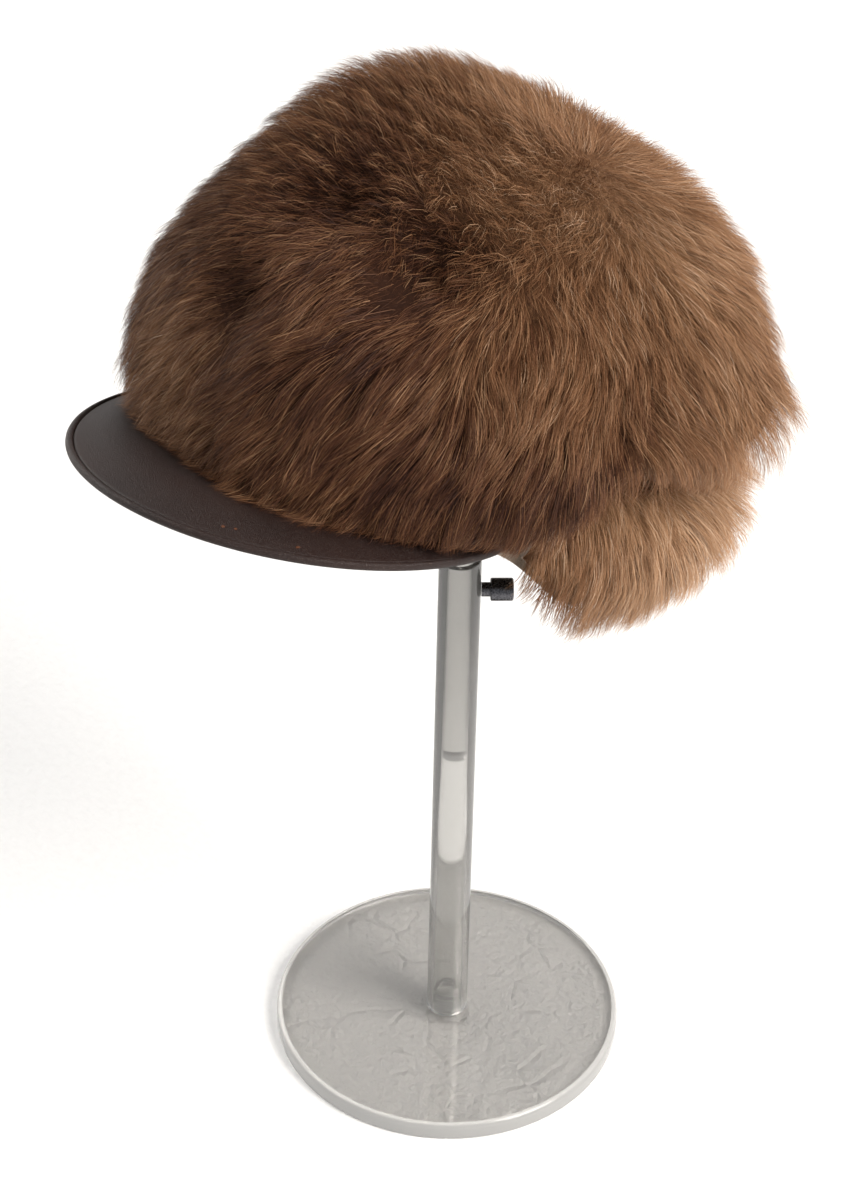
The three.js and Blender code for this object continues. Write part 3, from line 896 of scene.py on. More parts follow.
class HairTree:
    """Geometry Nodes tree that grows combed, clumped hair on a scalp."""

    INPUTS: ClassVar[dict[str, str]] = {
        "Density": "NodeSocketFloat",
        "Length": "NodeSocketFloat",
        "Width": "NodeSocketFloat",
        "Clumps": "NodeSocketFloat",
        "Pull": "NodeSocketFloat",
        "Seed": "NodeSocketInt",
        "Blade": "NodeSocketObject",
        "Finish": "NodeSocketMaterial",
    }
    STRAND: ClassVar[tuple[str, ...]] = ("root", "axis", "lay", "long", "lean_start", "lean_end")
    VECTORS: ClassVar[tuple[str, ...]] = ("root", "axis", "lay", "comb", "rise")

    def __init__(self) -> None:
        """Builds the tree."""
        self.growth = Growth()
        self.tree = bpy.data.node_groups.new("combed_hair", "GeometryNodeTree")
        face = self.tree.interface
        face.new_socket("Scalp", in_out="INPUT", socket_type="NodeSocketGeometry")
        for name, kind in self.INPUTS.items():
            face.new_socket(name, in_out="INPUT", socket_type=kind)
        face.new_socket("Hair", in_out="OUTPUT", socket_type="NodeSocketGeometry")
        self.nodes = Nodes(self.tree)
        self.given = self.nodes.add("NodeGroupInput").outputs
        hair = {"Geometry": self._mapped(self._shaped(self._hairs())), "Material": self.given["Finish"]}
        dressed = self.nodes.add("GeometryNodeSetMaterial", hair)
        self.nodes.add("NodeGroupOutput", {"Hair": dressed.outputs["Geometry"]})

    def _kind(self, name: str) -> str:
        """Type of an attribute."""
        return "FLOAT_VECTOR" if name.removeprefix("lock_") in self.VECTORS else "FLOAT"

    def _read(self, name: str) -> Socket:
        """Reads an attribute."""
        node = self.nodes.add("GeometryNodeInputNamedAttribute", {"Name": name}, data_type=self._kind(name))
        return self.nodes.out(node)

    def _store(self, geometry: Any, values: dict[str, Any]) -> Socket:
        """Writes attributes of the points, and returns the geometry that has them."""
        for name, value in values.items():
            inputs = {"Geometry": geometry, "Name": name, "Value": value}
            node = self.nodes.add("GeometryNodeStoreNamedAttribute", inputs, data_type=self._kind(name))
            geometry = node.outputs["Geometry"]
        return geometry

    def _seed(self, shift: int) -> Socket:
        """Seed of one random draw."""
        return self.nodes.math("ADD", self.given["Seed"], float(shift))

    def _random(self, low: float, high: float, shift: int) -> Socket:
        """Random number for each point."""
        inputs = {"Min": low, "Max": high, "Seed": self._seed(shift)}
        return self.nodes.out(self.nodes.add("FunctionNodeRandomValue", inputs, data_type="FLOAT"))

    def _roots(self, density: Any, shift: int) -> Socket:
        """Scatters roots on the scalp, with their place, direction, lean and length."""
        n = self.nodes
        g = self.growth
        spread = n.add("GeometryNodeDistributePointsOnFaces", distribute_method="RANDOM")
        n.join(spread, {"Mesh": self.given["Scalp"], "Density": density, "Seed": self._seed(shift)})
        place = n.out(n.add("GeometryNodeInputPosition"))
        comb = self._read("comb")
        lift = n.vector("NORMALIZE", self._read("rise"))
        across = n.vector("CROSS_PRODUCT", lift, comb)
        drift = n.product(n.math("SUBTRACT", n.noise(place, g.drift_scale, 1.5), 0.5), g.drift_turn)
        mess = n.math("MULTIPLY_ADD", self._read("mess"), g.mess_turn, g.least_turn)
        turn = n.math("ADD", drift, n.product(self._random(-1.0, 1.0, shift + 1), mess))
        along = n.total(n.scale(comb, n.math("COSINE", turn)), n.scale(across, n.math("SINE", turn)))
        patch = n.math("SUBTRACT", n.noise(place, g.patch_scale, 2.0), 0.5)
        grow = n.product(n.math("MULTIPLY_ADD", patch, g.patch_reach, 1.0), self._read("reach"))
        reach = n.product(self._random(*g.reach, shift + 2), grow)
        start = n.math("ADD", self._random(*g.lean_start, shift + 3), self._read("flat"))
        end = n.math("ADD", self._random(*g.lean_end, shift + 4), self._read("flat"))
        return self._store(
            spread.outputs["Points"],
            {
                "root": place,
                "axis": lift,
                "lay": along,
                "long": n.product(reach, self.given["Length"]),
                "lean_start": n.math("MAXIMUM", start, g.least_lean),
                "lean_end": end,
            },
        )

    def _hairs(self) -> Socket:
        """Scatters locks and hairs, gives each hair what its lock has, and stands a blade on each."""
        n = self.nodes
        guides = self._roots(self.given["Clumps"], 100)
        guides = self._store(guides, {"lock_tone": self._random(0.0, 1.0, 160)})
        hairs = self._roots(self.given["Density"], 200)
        nearest = n.add("GeometryNodeSampleNearest", {"Geometry": guides}, domain="POINT")
        n.join(nearest, {"Sample Position": n.out(n.add("GeometryNodeInputPosition"))})
        for name in (*self.STRAND, "lock_tone"):
            sample = n.add("GeometryNodeSampleIndex", data_type=self._kind(name), domain="POINT")
            n.join(sample, {"Geometry": guides, "Index": n.out(nearest), "Value": self._read(name)})
            hairs = self._store(hairs, {"lock_" + name.removeprefix("lock_"): n.out(sample)})
        loose = n.math("POWER", self._random(0.0, 1.0, 301), self.growth.loose_power)
        own = {
            "pull": n.product(loose, self.growth.pull_gain, self.given["Pull"]),
            "chance": self._random(0.0, 1.0, 302),
            "twist": self._random(-1.0, 1.0, 303),
            "bend": self._random(-1.0, 1.0, 304),
        }
        blade = n.add("GeometryNodeObjectInfo", {"Object": self.given["Blade"]}, transform_space="ORIGINAL")
        stand = {"Points": self._store(hairs, own), "Instance": blade.outputs["Geometry"]}
        copies = n.add("GeometryNodeInstanceOnPoints", stand).outputs["Instances"]
        return n.add("GeometryNodeRealizeInstances", {"Geometry": copies}).outputs["Geometry"]

    def _strand(self, owner: str, along: Any, stretch: float) -> Socket:
        """Place on a hair or its lock, which leans over from its first angle to its last.

        Args:
            owner: What the names of its attributes start with.
            along: Share of its length.
            stretch: What its length is multiplied by.

        Returns:
            The place as a vector.
        """
        n = self.nodes
        root, axis, lay, long, start, end = (self._read(owner + name) for name in self.STRAND)
        long = n.product(long, stretch)
        span = n.math("SUBTRACT", end, start)
        angle = n.math("MULTIPLY_ADD", span, along, start)
        rise = n.math("DIVIDE", n.math("SUBTRACT", n.math("SINE", angle), n.math("SINE", start)), span)
        run = n.math("DIVIDE", n.math("SUBTRACT", n.math("COSINE", start), n.math("COSINE", angle)), span)
        return n.total(root, n.scale(axis, n.product(rise, long)), n.scale(lay, n.product(run, long)))

    def _shaped(self, hair: Any) -> Socket:
        """Bends each blade along its hair, pulls it to its lock and gives it its width."""
        n = self.nodes
        g = self.growth
        along = self._read("along")
        own = self._strand("", along, 1.0)
        lock = self._strand("lock_", along, g.lock_stretch)
        full = n.math("MINIMUM", self._read("pull"), g.most_pull)
        pull = n.product(full, n.math("POWER", along, g.pull_power))
        joined = n.total(own, n.scale(n.vector("SUBTRACT", lock, own), pull))
        axis = self._read("axis")
        side = n.vector("CROSS_PRODUCT", axis, self._read("lay"))
        bend = self._read("bend")
        sway = n.product(bend, g.sway, self._read("long"))
        swayed = n.total(joined, n.scale(side, n.product(sway, n.math("POWER", along, g.sway_power))))
        twist = n.product(self._read("twist"), g.twist)
        face = n.total(n.scale(side, n.math("COSINE", twist)), n.scale(axis, n.math("SINE", twist)))
        slim = n.math("POWER", n.math("SUBTRACT", g.taper_from, along), g.taper_power)
        own_width = n.math("MULTIPLY_ADD", n.math("ABSOLUTE", bend), g.vary_width, g.least_width)
        half = n.product(self.given["Width"], own_width, slim)
        spread = n.scale(face, n.product(half, self._read("across")))
        place = n.total(self._clear_of_peak(swayed), spread)
        return n.add("GeometryNodeSetPosition", {"Geometry": hair, "Position": place}).outputs["Geometry"]

    def _clear_of_peak(self, place: Any) -> Socket:
        """Keeps hair at the front on top of the peak, pushed outwards by what it loses in height."""
        n = self.nodes
        g = self.growth
        form = HatForm()
        width = form.band_half_width * MM
        length = form.band_half_length * MM
        parts = n.add("ShaderNodeSeparateXYZ", {"Vector": place}).outputs
        x = n.math("DIVIDE", parts["X"], width)
        y = n.math("DIVIDE", parts["Y"], length)
        far = n.math("SQRT", n.math("ADD", n.product(x, x), n.product(y, y)))
        run = n.product(n.math("SUBTRACT", far, 1.0), g.band_mean)
        floor = n.math("MULTIPLY_ADD", n.math("MAXIMUM", run, 0.0), -g.peak_fall, -g.peak_rest)
        floor = n.math("MULTIPLY_ADD", self._read("chance"), g.peak_layers, floor)
        short = n.math("MAXIMUM", n.math("SUBTRACT", floor, parts["Z"]), 0.0)
        short = n.product(short, self._read("front"))
        steepest = {"X": n.math("DIVIDE", x, width), "Y": n.math("DIVIDE", y, length)}
        level = n.add("ShaderNodeCombineXYZ", steepest).outputs["Vector"]
        push = n.scale(n.vector("NORMALIZE", level), n.product(short, g.peak_push))
        raised = n.add("ShaderNodeCombineXYZ", {"Z": short}).outputs["Vector"]
        return n.total(place, raised, push)

    def _mapped(self, hair: Any) -> Socket:
        """Gives the hair a map with its tone, painted light and shade included, along U and its root to tip
        along V.
        """
        n = self.nodes
        g = self.growth
        chance = self._read("chance")
        tint = self._read("tint")
        guard = n.product(n.math("POWER", chance, g.guard_power), g.guard_tone)
        vary = n.math("MULTIPLY_ADD", tint, -g.vary_pale, g.vary_dark)
        own_tone = n.product(n.math("SUBTRACT", chance, g.own_middle), g.own_tone)
        lock_tone = n.product(n.math("SUBTRACT", self._read("lock_tone"), 0.5), g.lock_tone)
        tone = n.math("MULTIPLY_ADD", n.math("ADD", own_tone, lock_tone), vary, n.math("ADD", tint, guard))
        tone = n.math("MINIMUM", n.math("MAXIMUM", tone, 0.01), 0.99)
        along = n.math("MULTIPLY_ADD", self._read("along"), 0.98, 0.01)
        pair = n.add("ShaderNodeCombineXYZ", {"X": tone, "Y": along}).outputs["Vector"]
        node = n.add("GeometryNodeStoreNamedAttribute", data_type="FLOAT2", domain="CORNER")
        n.join(node, {"Geometry": hair, "Name": "Strand", "Value": pair})
        return node.outputs["Geometry"]

    def grow(self, scalp: Piece, style: HairStyle, blade: Piece, finish: Material) -> bpy.types.Mesh:
        """Grows hair on a scalp and returns it as a plain mesh.

        Args:
            scalp: Surface with its comb attributes.
            style: Sizes and seed of the hair.
            blade: One hair, flat, with its along and across attributes.
            finish: Material of the hair.

        Returns:
            The hair as a mesh in the frame of the scalp.
        """
        modifier = scalp.modifiers.new("hair", "NODES")
        modifier.node_group = self.tree
        sizes = (style.density, style.length, style.width, style.clumps, style.pull, style.seed)
        values = dict(zip(self.INPUTS, (*sizes, blade, finish)))
        for item in self.tree.interface.items_tree:
            if item.name in values:
                modifier[item.identifier] = values[item.name]
        graph = bpy.context.evaluated_depsgraph_get()
        graph.update()
        mesh = bpy.data.meshes.new_from_object(scalp.evaluated_get(graph))
        scalp.modifiers.remove(modifier)
        return mesh


@dataclass(frozen=True)
class Patch:
    """Place where the fur differs, or where light and shade are painted into it: its tone, length, mess and
    lean change toward its middle.
    """

    place: Place
    spread: float
    tone: float = 0.0
    reach: float = 1.0
    mess: float = 0.0
    lean: float = 0.0


@dataclass(frozen=True)
class FurState:
    """The fur at some points: share of its full length, mess, lean in radians, and tone from 0 to 1, with
    painted light and shade in it.
    """

    reach: Array
    mess: Array
    flat: Array
    tint: Array


@dataclass
class Coat:
    """Long fur on one surface of the hat: an undercoat, and hair in zones."""

    form: HatForm
    seat: Seat
    name: str
    node: str
    surface: Surface
    azimuths: Callable[[Array], Array]
    flow: Callable[[Array], Array]
    zones: dict[str, tuple[float, float]]
    patches: tuple[Patch, ...]
    style: HairStyle
    whole: bool
    base_tone: float
    base_lean: float
    under_height: float = 5.5
    under_rough: float = 1.2
    under_least: float = 0.7
    scalp_lift: float = 0.8
    open_levels: tuple[float, float] = (0.03, 0.93)
    last_level: float = 0.985
    # Painted light: how much lighter the fur is made toward the lit right and on the top
    tone_and_painted_light_slope: float = 0.0017
    painted_top_light: float = 0.07
    tone_cloud: float = 0.09
    fringe_rise: float = 0.42
    fringe_mess: float = 0.22
    pieces: list[Piece] = field(default_factory=list)

    def levels(self, v: Array) -> Array:
        """Levels of the surface that carry fur."""
        return v if self.whole else mix(*self.open_levels, v)

    def undercoat(self, finish: Material) -> None:
        """Builds the dense undercoat as a closed wall."""

        def outer(u: Array, v: Array) -> Array:
            """Outer skin with soft tufts."""
            azimuth = self.azimuths(u)
            t = self.levels(v)
            base = self.surface(azimuth, t, 0.0 * t)
            bumps = np.array([noise.fractal(Vector(p) / 9.0, 0.8, 2.0, 3) for p in base])
            edge = smooth(v / 0.08) if self.whole else smooth(v / 0.1) * smooth((1.0 - v) / 0.1)
            full = (self.under_height + self.under_rough * bumps) * mix(0.25, 1.0, edge)
            height = full * self.state(base).reach ** 1.4
            return self.surface(azimuth, t, GAP + np.maximum(height, self.under_least))

        def inner(u: Array, v: Array) -> Array:
            """Inner skin, just off the hide."""
            t = self.levels(v)
            return self.surface(self.azimuths(u), t, GAP + 0.0 * t)

        points, faces = shell(outer, inner, 180, 64 if self.whole else 30, self.whole, self.whole)
        piece = mesh_object(f"{self.name}_undercoat", self.seat.place(points), faces, finish)
        # The tint holds painted light and shade as well as the fur's own tone
        tint = piece.data.attributes.new("tint", "FLOAT", "POINT")
        tint.data.foreach_set("value", self.state(points).tint.astype(np.float32))
        self.pieces.append(piece)

    def scalp(self, zone: str, across: int = 60) -> Piece:
        """Surface that one zone of hair grows on, in metres of the frame of the hat, with its comb."""
        up = across if self.whole else across // 2
        last = self.last_level if self.whole else 1.0
        grid = np.meshgrid(np.linspace(*self.zones[zone], across + 1), np.linspace(0.0, last, up + 1))
        u, v = (part.ravel() for part in grid)
        azimuth = self.azimuths(u)
        t = self.levels(v)
        points = self.surface(azimuth, t, GAP + self.scalp_lift + 0.0 * t)
        rise = unit(self.surface(azimuth, t, GAP + self.scalp_lift + 2.0 + 0.0 * t) - points)
        corners = [j * (across + 1) + i for j in range(up) for i in range(across)]
        mesh = bpy.data.meshes.new(f"scalp_{zone}")
        mesh.from_pydata(
            [tuple(p * MM) for p in points],
            [],
            [(a, a + 1, a + across + 2, a + across + 1) for a in corners],
        )
        flow = self.flow(points)
        state = self.state(points)
        values = {
            "comb": unit(flow - rise * np.sum(flow * rise, axis=-1, keepdims=True)),
            "rise": rise,
            "reach": state.reach,
            "mess": state.mess,
            # The tint holds painted light and shade as well as the fur's own tone
            "tint": state.tint,
            "front": 1.0 - smooth((self.form.side(azimuth) - 68.0) / 10.0) if self.whole else 0.0 * t,
            "flat": state.flat,
        }
        for name, value in values.items():
            kind, key = ("FLOAT_VECTOR", "vector") if value.ndim == 2 else ("FLOAT", "value")
            mesh.attributes.new(name, kind, "POINT").data.foreach_set(key, value.astype(np.float32).ravel())
        return linked(f"scalp_{zone}", mesh)

    def state(self, points: Array) -> FurState:
        """How the fur is at places in the frame of the hat, in millimetres, with light and shade painted into
        its tone.
        """
        x, y, z = points.T
        # Painted light and shade: the tone rises toward the lit right and the top, and falls toward the
        # shaded front left, which is partly also the fur's own darker front
        tone = self.base_tone + self.tone_and_painted_light_slope * (x + y) * 0.707 + self.painted_top_light * smooth((z - 96.0) / 30.0)
        tone = tone + self.tone_cloud * np.array([noise.noise(Vector(p) / 42.0) for p in points])
        reach = 1.0 + 0.0 * z
        mess = 0.0 * z
        lean = self.base_lean + 0.0 * z
        for patch in self.patches:
            away = np.linalg.norm(points - np.array(patch.place), axis=-1) / patch.spread
            share = np.exp(-away * away)
            tone = tone + patch.tone * share
            reach = reach * mix(1.0, patch.reach, share)
            mess = mess + patch.mess * share
            lean = lean + patch.lean * share
        if self.whole:
            fringe = smooth((28.0 - z) / 26.0) * smooth((-y - 20.0) / 50.0)
            lean = lean - self.fringe_rise * fringe
            mess = mess + self.fringe_mess * fringe
        else:
            reach = reach * mix(0.6, 1.0, smooth((self.form.side_of(points) - 80.0) / 22.0))
        return FurState(reach, mess, lean, np.clip(tone, 0.05, 0.92))

    def build(self, tree: HairTree, blade: Piece, hair: Material, under: Material) -> None:
        """Builds the undercoat and all the zones of hair, and rides them on the hat."""
        self.undercoat(under)
        for zone in self.zones:
            scalp = self.scalp(zone)
            mesh = tree.grow(scalp, self.style, blade, hair)
            bpy.data.objects.remove(scalp)
            mesh.name = f"{self.name}_{zone}"
            mesh.transform(self.seat.matrix() @ Matrix.Scale(1.0 / MM, 4))
            self._map(mesh)
            self.pieces.append(linked(mesh.name, mesh))
        for piece in self.pieces:
            dress(piece, self.node)

    @staticmethod
    def _map(mesh: bpy.types.Mesh) -> None:
        """Leaves only the hair's map on the mesh, with a copy for the bake."""
        strand = np.empty(len(mesh.loops) * 2, dtype=np.float32)
        mesh.uv_layers["Strand"].uv.foreach_get("vector", strand)
        for name in [a.name for a in mesh.attributes if not a.name.startswith(".") and not a.is_required]:
            if name not in ("Strand", "material_index"):
                mesh.attributes.remove(mesh.attributes[name])
        mesh.uv_layers.new(name="OFBake").uv.foreach_set("vector", strand)


def hair_blade() -> Piece:
    """One flat hair in three cells, narrow at its tip."""
    steps = (0.0, 0.38, 0.72)
    mesh = bpy.data.meshes.new("hair_blade")
    points = [(s * MM, 0.0, a) for a in steps for s in (-1.0, 1.0)] + [(0.0, 0.0, 1.0)]
    tip = len(points) - 1
    faces = [(2 * k, 2 * k + 2, 2 * k + 3, 2 * k + 1) for k in range(len(steps) - 1)]
    mesh.from_pydata(points, [], [*faces, (tip - 2, tip, tip - 1)])
    for name, values in (("along", [p[2] for p in points]), ("across", [p[0] / MM for p in points])):
        mesh.attributes.new(name, "FLOAT", "POINT").data.foreach_set("value", values)
    mesh.shade_smooth()
    return linked("hair_blade", mesh)


@dataclass
class Fur:
    """All the fur of the hat."""

    # The tone column is mostly painted light and shade: darker in the centre dent, the top hollow, the brow
    # crease, the crease above the cuff and on the shaded front, and lighter on the left lobe, above the brow
    # and on the top right, where light falls. Reach, mess and lean shape the hair.
    CROWN_PATCHES: ClassVar[tuple[Patch, ...]] = (
        Patch((46, -64, 98), 13, tone=-0.34, mess=0.5),
        Patch((46, -60, 102), 22, tone=-0.08, reach=0.45),
        Patch((5, -62, 114), 26, tone=-0.22, reach=0.6, mess=0.5),
        Patch((-36, -70, 106), 44, tone=-0.03, reach=0.54, mess=0.4, lean=-0.4),
        Patch((-74, -82, 76), 40, tone=0.04, reach=0.62),
        Patch((-5, -25, 140), 46, tone=0.03, reach=0.6, mess=0.5, lean=-0.45),
        Patch((-8, -97, 68), 14, tone=-0.18, reach=0.55),
        Patch((-3, -92, 84), 12, tone=0.1),
        Patch((-47, -105, 30), 38, tone=0.32, reach=0.78, mess=0.15),
        Patch((47, -105, 53), 40, tone=-0.1, reach=1.05),
        Patch((-12, -112, 6), 34, reach=0.5),
        Patch((62, -84, 76), 18, tone=-0.06),
        Patch((88, -82, 22), 32, tone=-0.28),
        Patch((113, -54, 30), 20, tone=-0.26),
        Patch((120, -30, 30), 16, tone=-0.26),
        Patch((116, -20, 48), 22, tone=-0.12),
        Patch((67, 0, 125), 34, tone=0.07, lean=-0.1),
        Patch((72, 54, 106), 32, reach=1.12, lean=-0.1),
        Patch((54, -43, 118), 28, tone=0.03, reach=0.85, mess=0.95, lean=-0.15),
        Patch((102, 70, 34), 34, tone=0.02, reach=1.36, lean=-0.18),
        Patch((45, 20, 131), 26, reach=0.9, mess=0.6),
    )
    # Painted shade: the cuff darker at its front ends, low down under the crown
    CUFF_PAINTED_SHADE: ClassVar[tuple[Patch, ...]] = (
        Patch((90, -4, -16), 20, tone=-0.2),
        Patch((-90, -4, -16), 20, tone=-0.2),
    )
    QUARTERS: ClassVar[tuple[str, ...]] = ("front_left", "rear_left", "rear_right", "front_right")

    form: HatForm
    seat: Seat

    def crown_flow(self, points: Array) -> Array:
        """Hair of the crown parts at the whorl and at two creases, and lies down below them."""
        away = points - np.array(self.form.whorl)
        far = np.linalg.norm(away, axis=-1)
        x, y, z = points.T
        low = 1.0 - smooth((z - 92.0) / 22.0)
        ahead = smooth((-y - 30.0) / 50.0) * smooth((112.0 - x) / 40.0) * smooth((x + 80.0) / 60.0)
        lay = np.zeros_like(points)
        lay[:, 0] = -0.34 * ahead
        lay[:, 2] = -(mix(0.1, 0.5, low) + 0.25 * smooth((far - 30.0) / 80.0))
        flow = unit(away) * smooth(far / 20.0)[:, None] + lay
        for fold, share, spread in ((self.form.side_crease, 0.7, 30.0), (self.form.brow_crease, 0.4, 20.0)):
            apart = points - np.array(fold[:3])
            gap = np.linalg.norm(apart, axis=-1)
            flow = flow + unit(apart) * (share * np.exp(-((gap / spread) ** 2)))[:, None]
        return flow

    def cuff_flow(self, points: Array) -> Array:
        """Hair of the cuff lies down, toward the front at its ends and toward the back behind them."""
        x = points[:, 0]
        behind = smooth((self.form.side_of(points) - 92.0) / 52.0)
        return np.stack([0.12 * np.sign(x), mix(-0.12, 0.5, behind), 0.0 * x - 1.0], axis=-1)

    def build(self) -> None:
        """Builds the fur of the crown and of the cuff."""
        form = self.form
        crown = Coat(
            form=form,
            seat=self.seat,
            name="crown_fur",
            node="crown_fur",
            surface=form.crown,
            azimuths=lambda u: 360.0 * u,
            flow=self.crown_flow,
            zones={name: (k / 4, (k + 1) / 4) for k, name in enumerate(self.QUARTERS)},
            patches=self.CROWN_PATCHES,
            style=HairStyle(),
            whole=True,
            base_tone=0.4,
            base_lean=0.22,
        )
        cuff = Coat(
            form=form,
            seat=self.seat,
            name="cuff_fur",
            node="rear_cuff_fur",
            surface=form.cuff,
            azimuths=form.cuff_azimuth,
            flow=self.cuff_flow,
            zones={"left": (0.0, 0.5), "right": (0.5, 1.0)},
            patches=self.CUFF_PAINTED_SHADE,
            style=HairStyle(length=0.0258, seed=51),
            whole=False,
            base_tone=0.58,
            base_lean=0.1,
        )
        tree = HairTree()
        blade = hair_blade()
        hair = HairFinish().material()
        under = UndercoatFinish().material()
        crown.build(tree, blade, hair, under)
        cuff.build(tree, blade, hair, under)
        bpy.data.objects.remove(blade)


# Hide, band and peak


@dataclass
class Pelt:
    """Hide of the crown and cuff, and the band they are sewn to."""

    form: HatForm
    seat: Seat

    def crown(self, out: float) -> Skin:
        """Skin of the crown."""
        return lambda u, v: self.form.crown(360.0 * u, v, out + 0.0 * v)

    def cuff(self, out: float) -> Skin:
        """Skin of the cuff."""
        return lambda u, v: self.form.cuff(self.form.cuff_azimuth(u), v, out + 0.0 * v)

    def band(self, out: float) -> Skin:
        """Skin of the band."""
        form = self.form

        def point(u: Array, v: Array) -> Array:
            """Point of the band, which reaches lower at the back."""
            azimuth = 360.0 * u
            deep = smooth((form.side(azimuth) - form.band_from) / (form.band_to - form.band_from))
            low = mix(form.band_front_bottom, form.band_rear_bottom, deep)
            return form.band(azimuth, mix(low, form.band_top, v), out + 0.0 * v)

        return point

    def build(self) -> None:
        """Builds the three walls and dresses them."""
        finish = HideFinish().material()
        for name, node, skin, wall, across, up, closed, pole in (
            ("crown_pelt", "crown_hide", self.crown, self.form.hide, 144, 64, True, True),
            ("cuff_pelt", "rear_cuff", self.cuff, self.form.hide, 120, 30, False, False),
            ("sewn_band", "headband", self.band, self.form.band_wall, 160, 8, True, False),
        ):
            points, faces = shell(skin(0.0), skin(-wall), across, up, closed, pole)
            dress(mesh_object(name, self.seat.place(points), faces, finish), node)


@dataclass
class Peak:
    """Leather peak with its rolled edge."""

    RUST: ClassVar[tuple[Place, ...]] = ((0.62, 0.86, 0.0011), (0.635, 0.84, 0.0009), (0.72, 0.9, 0.001))

    form: HatForm
    seat: Seat
    columns: int = 150
    rows: int = 26
    piping: float = 1.7
    piping_sides: int = 14
    edge_round: float = 1.0

    def face(self, side: float) -> Skin:
        """Top or bottom face, rounded over at the edge and the root, where its rows are closer."""
        half = self.form.peak_thickness / 2

        def point(u: Array, even: Array) -> Array:
            """Point of the face."""
            v = 0.5 - 0.5 * np.cos(math.pi * even)
            near = np.minimum(v, 1.0 - v) * self.form.peak_reach
            inward = 1.0 - np.clip(near / self.edge_round, 0.0, 1.0)
            fall = 1.0 - np.sqrt(np.maximum(1.0 - inward**2, 0.0))
            return self.form.peak(u, v, half - side * (half - 0.7 * fall * self.edge_round), 0.0 * v)

        return point

    def roll(self) -> Solid:
        """Rolled edge along the peak."""
        form = self.form
        u = np.linspace(0.0, 1.0, self.columns + 1)
        one = np.ones_like(u)
        centre = form.peak(u, one, form.peak_thickness / 2, self.piping)
        toward = form.peak(u, one, 0.0, 1.0) - form.peak(u, one, 0.0, 0.0)
        toward[:, 2] = 0.0
        toward = unit(toward)
        around = self.piping_sides
        rings = []
        for k in range(around):
            a = 2 * math.pi * k / around
            rise = np.array([0.0, 0.0, math.cos(a)])
            rings.append(centre + (toward * math.sin(a) + rise) * self.piping)
        points = np.stack(rings, axis=1).reshape(-1, 3)
        faces: Faces = []
        for i in range(0, self.columns * around, around):
            for k in range(around):
                a = i + k
                b = i + (k + 1) % around
                faces.append((a, b, b + around, a + around))
        faces.append(tuple(range(around - 1, -1, -1)))
        faces.append(tuple(self.columns * around + k for k in range(around)))
        return points, outward(points, faces)

    def build(self) -> None:
        """Builds the peak and its piping."""
        specks = []
        for u, v, radius in self.RUST:
            middle = self.seat.place(self.form.peak(np.array([u]), np.array([v]), 0.0, 0.0))[0]
            specks.append((tuple(middle), radius))
        finish = LeatherFinish(specks=tuple(specks)).material()
        leather = shell(self.face(1.0), self.face(-1.0), self.columns, self.rows, False, False)
        for name, node, (points, faces) in (
            ("peak_leather", "peak", leather),
            ("peak_roll", "peak_piping", self.roll()),
        ):
            dress(mesh_object(name, self.seat.place(points), faces, finish), node)


# Display stand


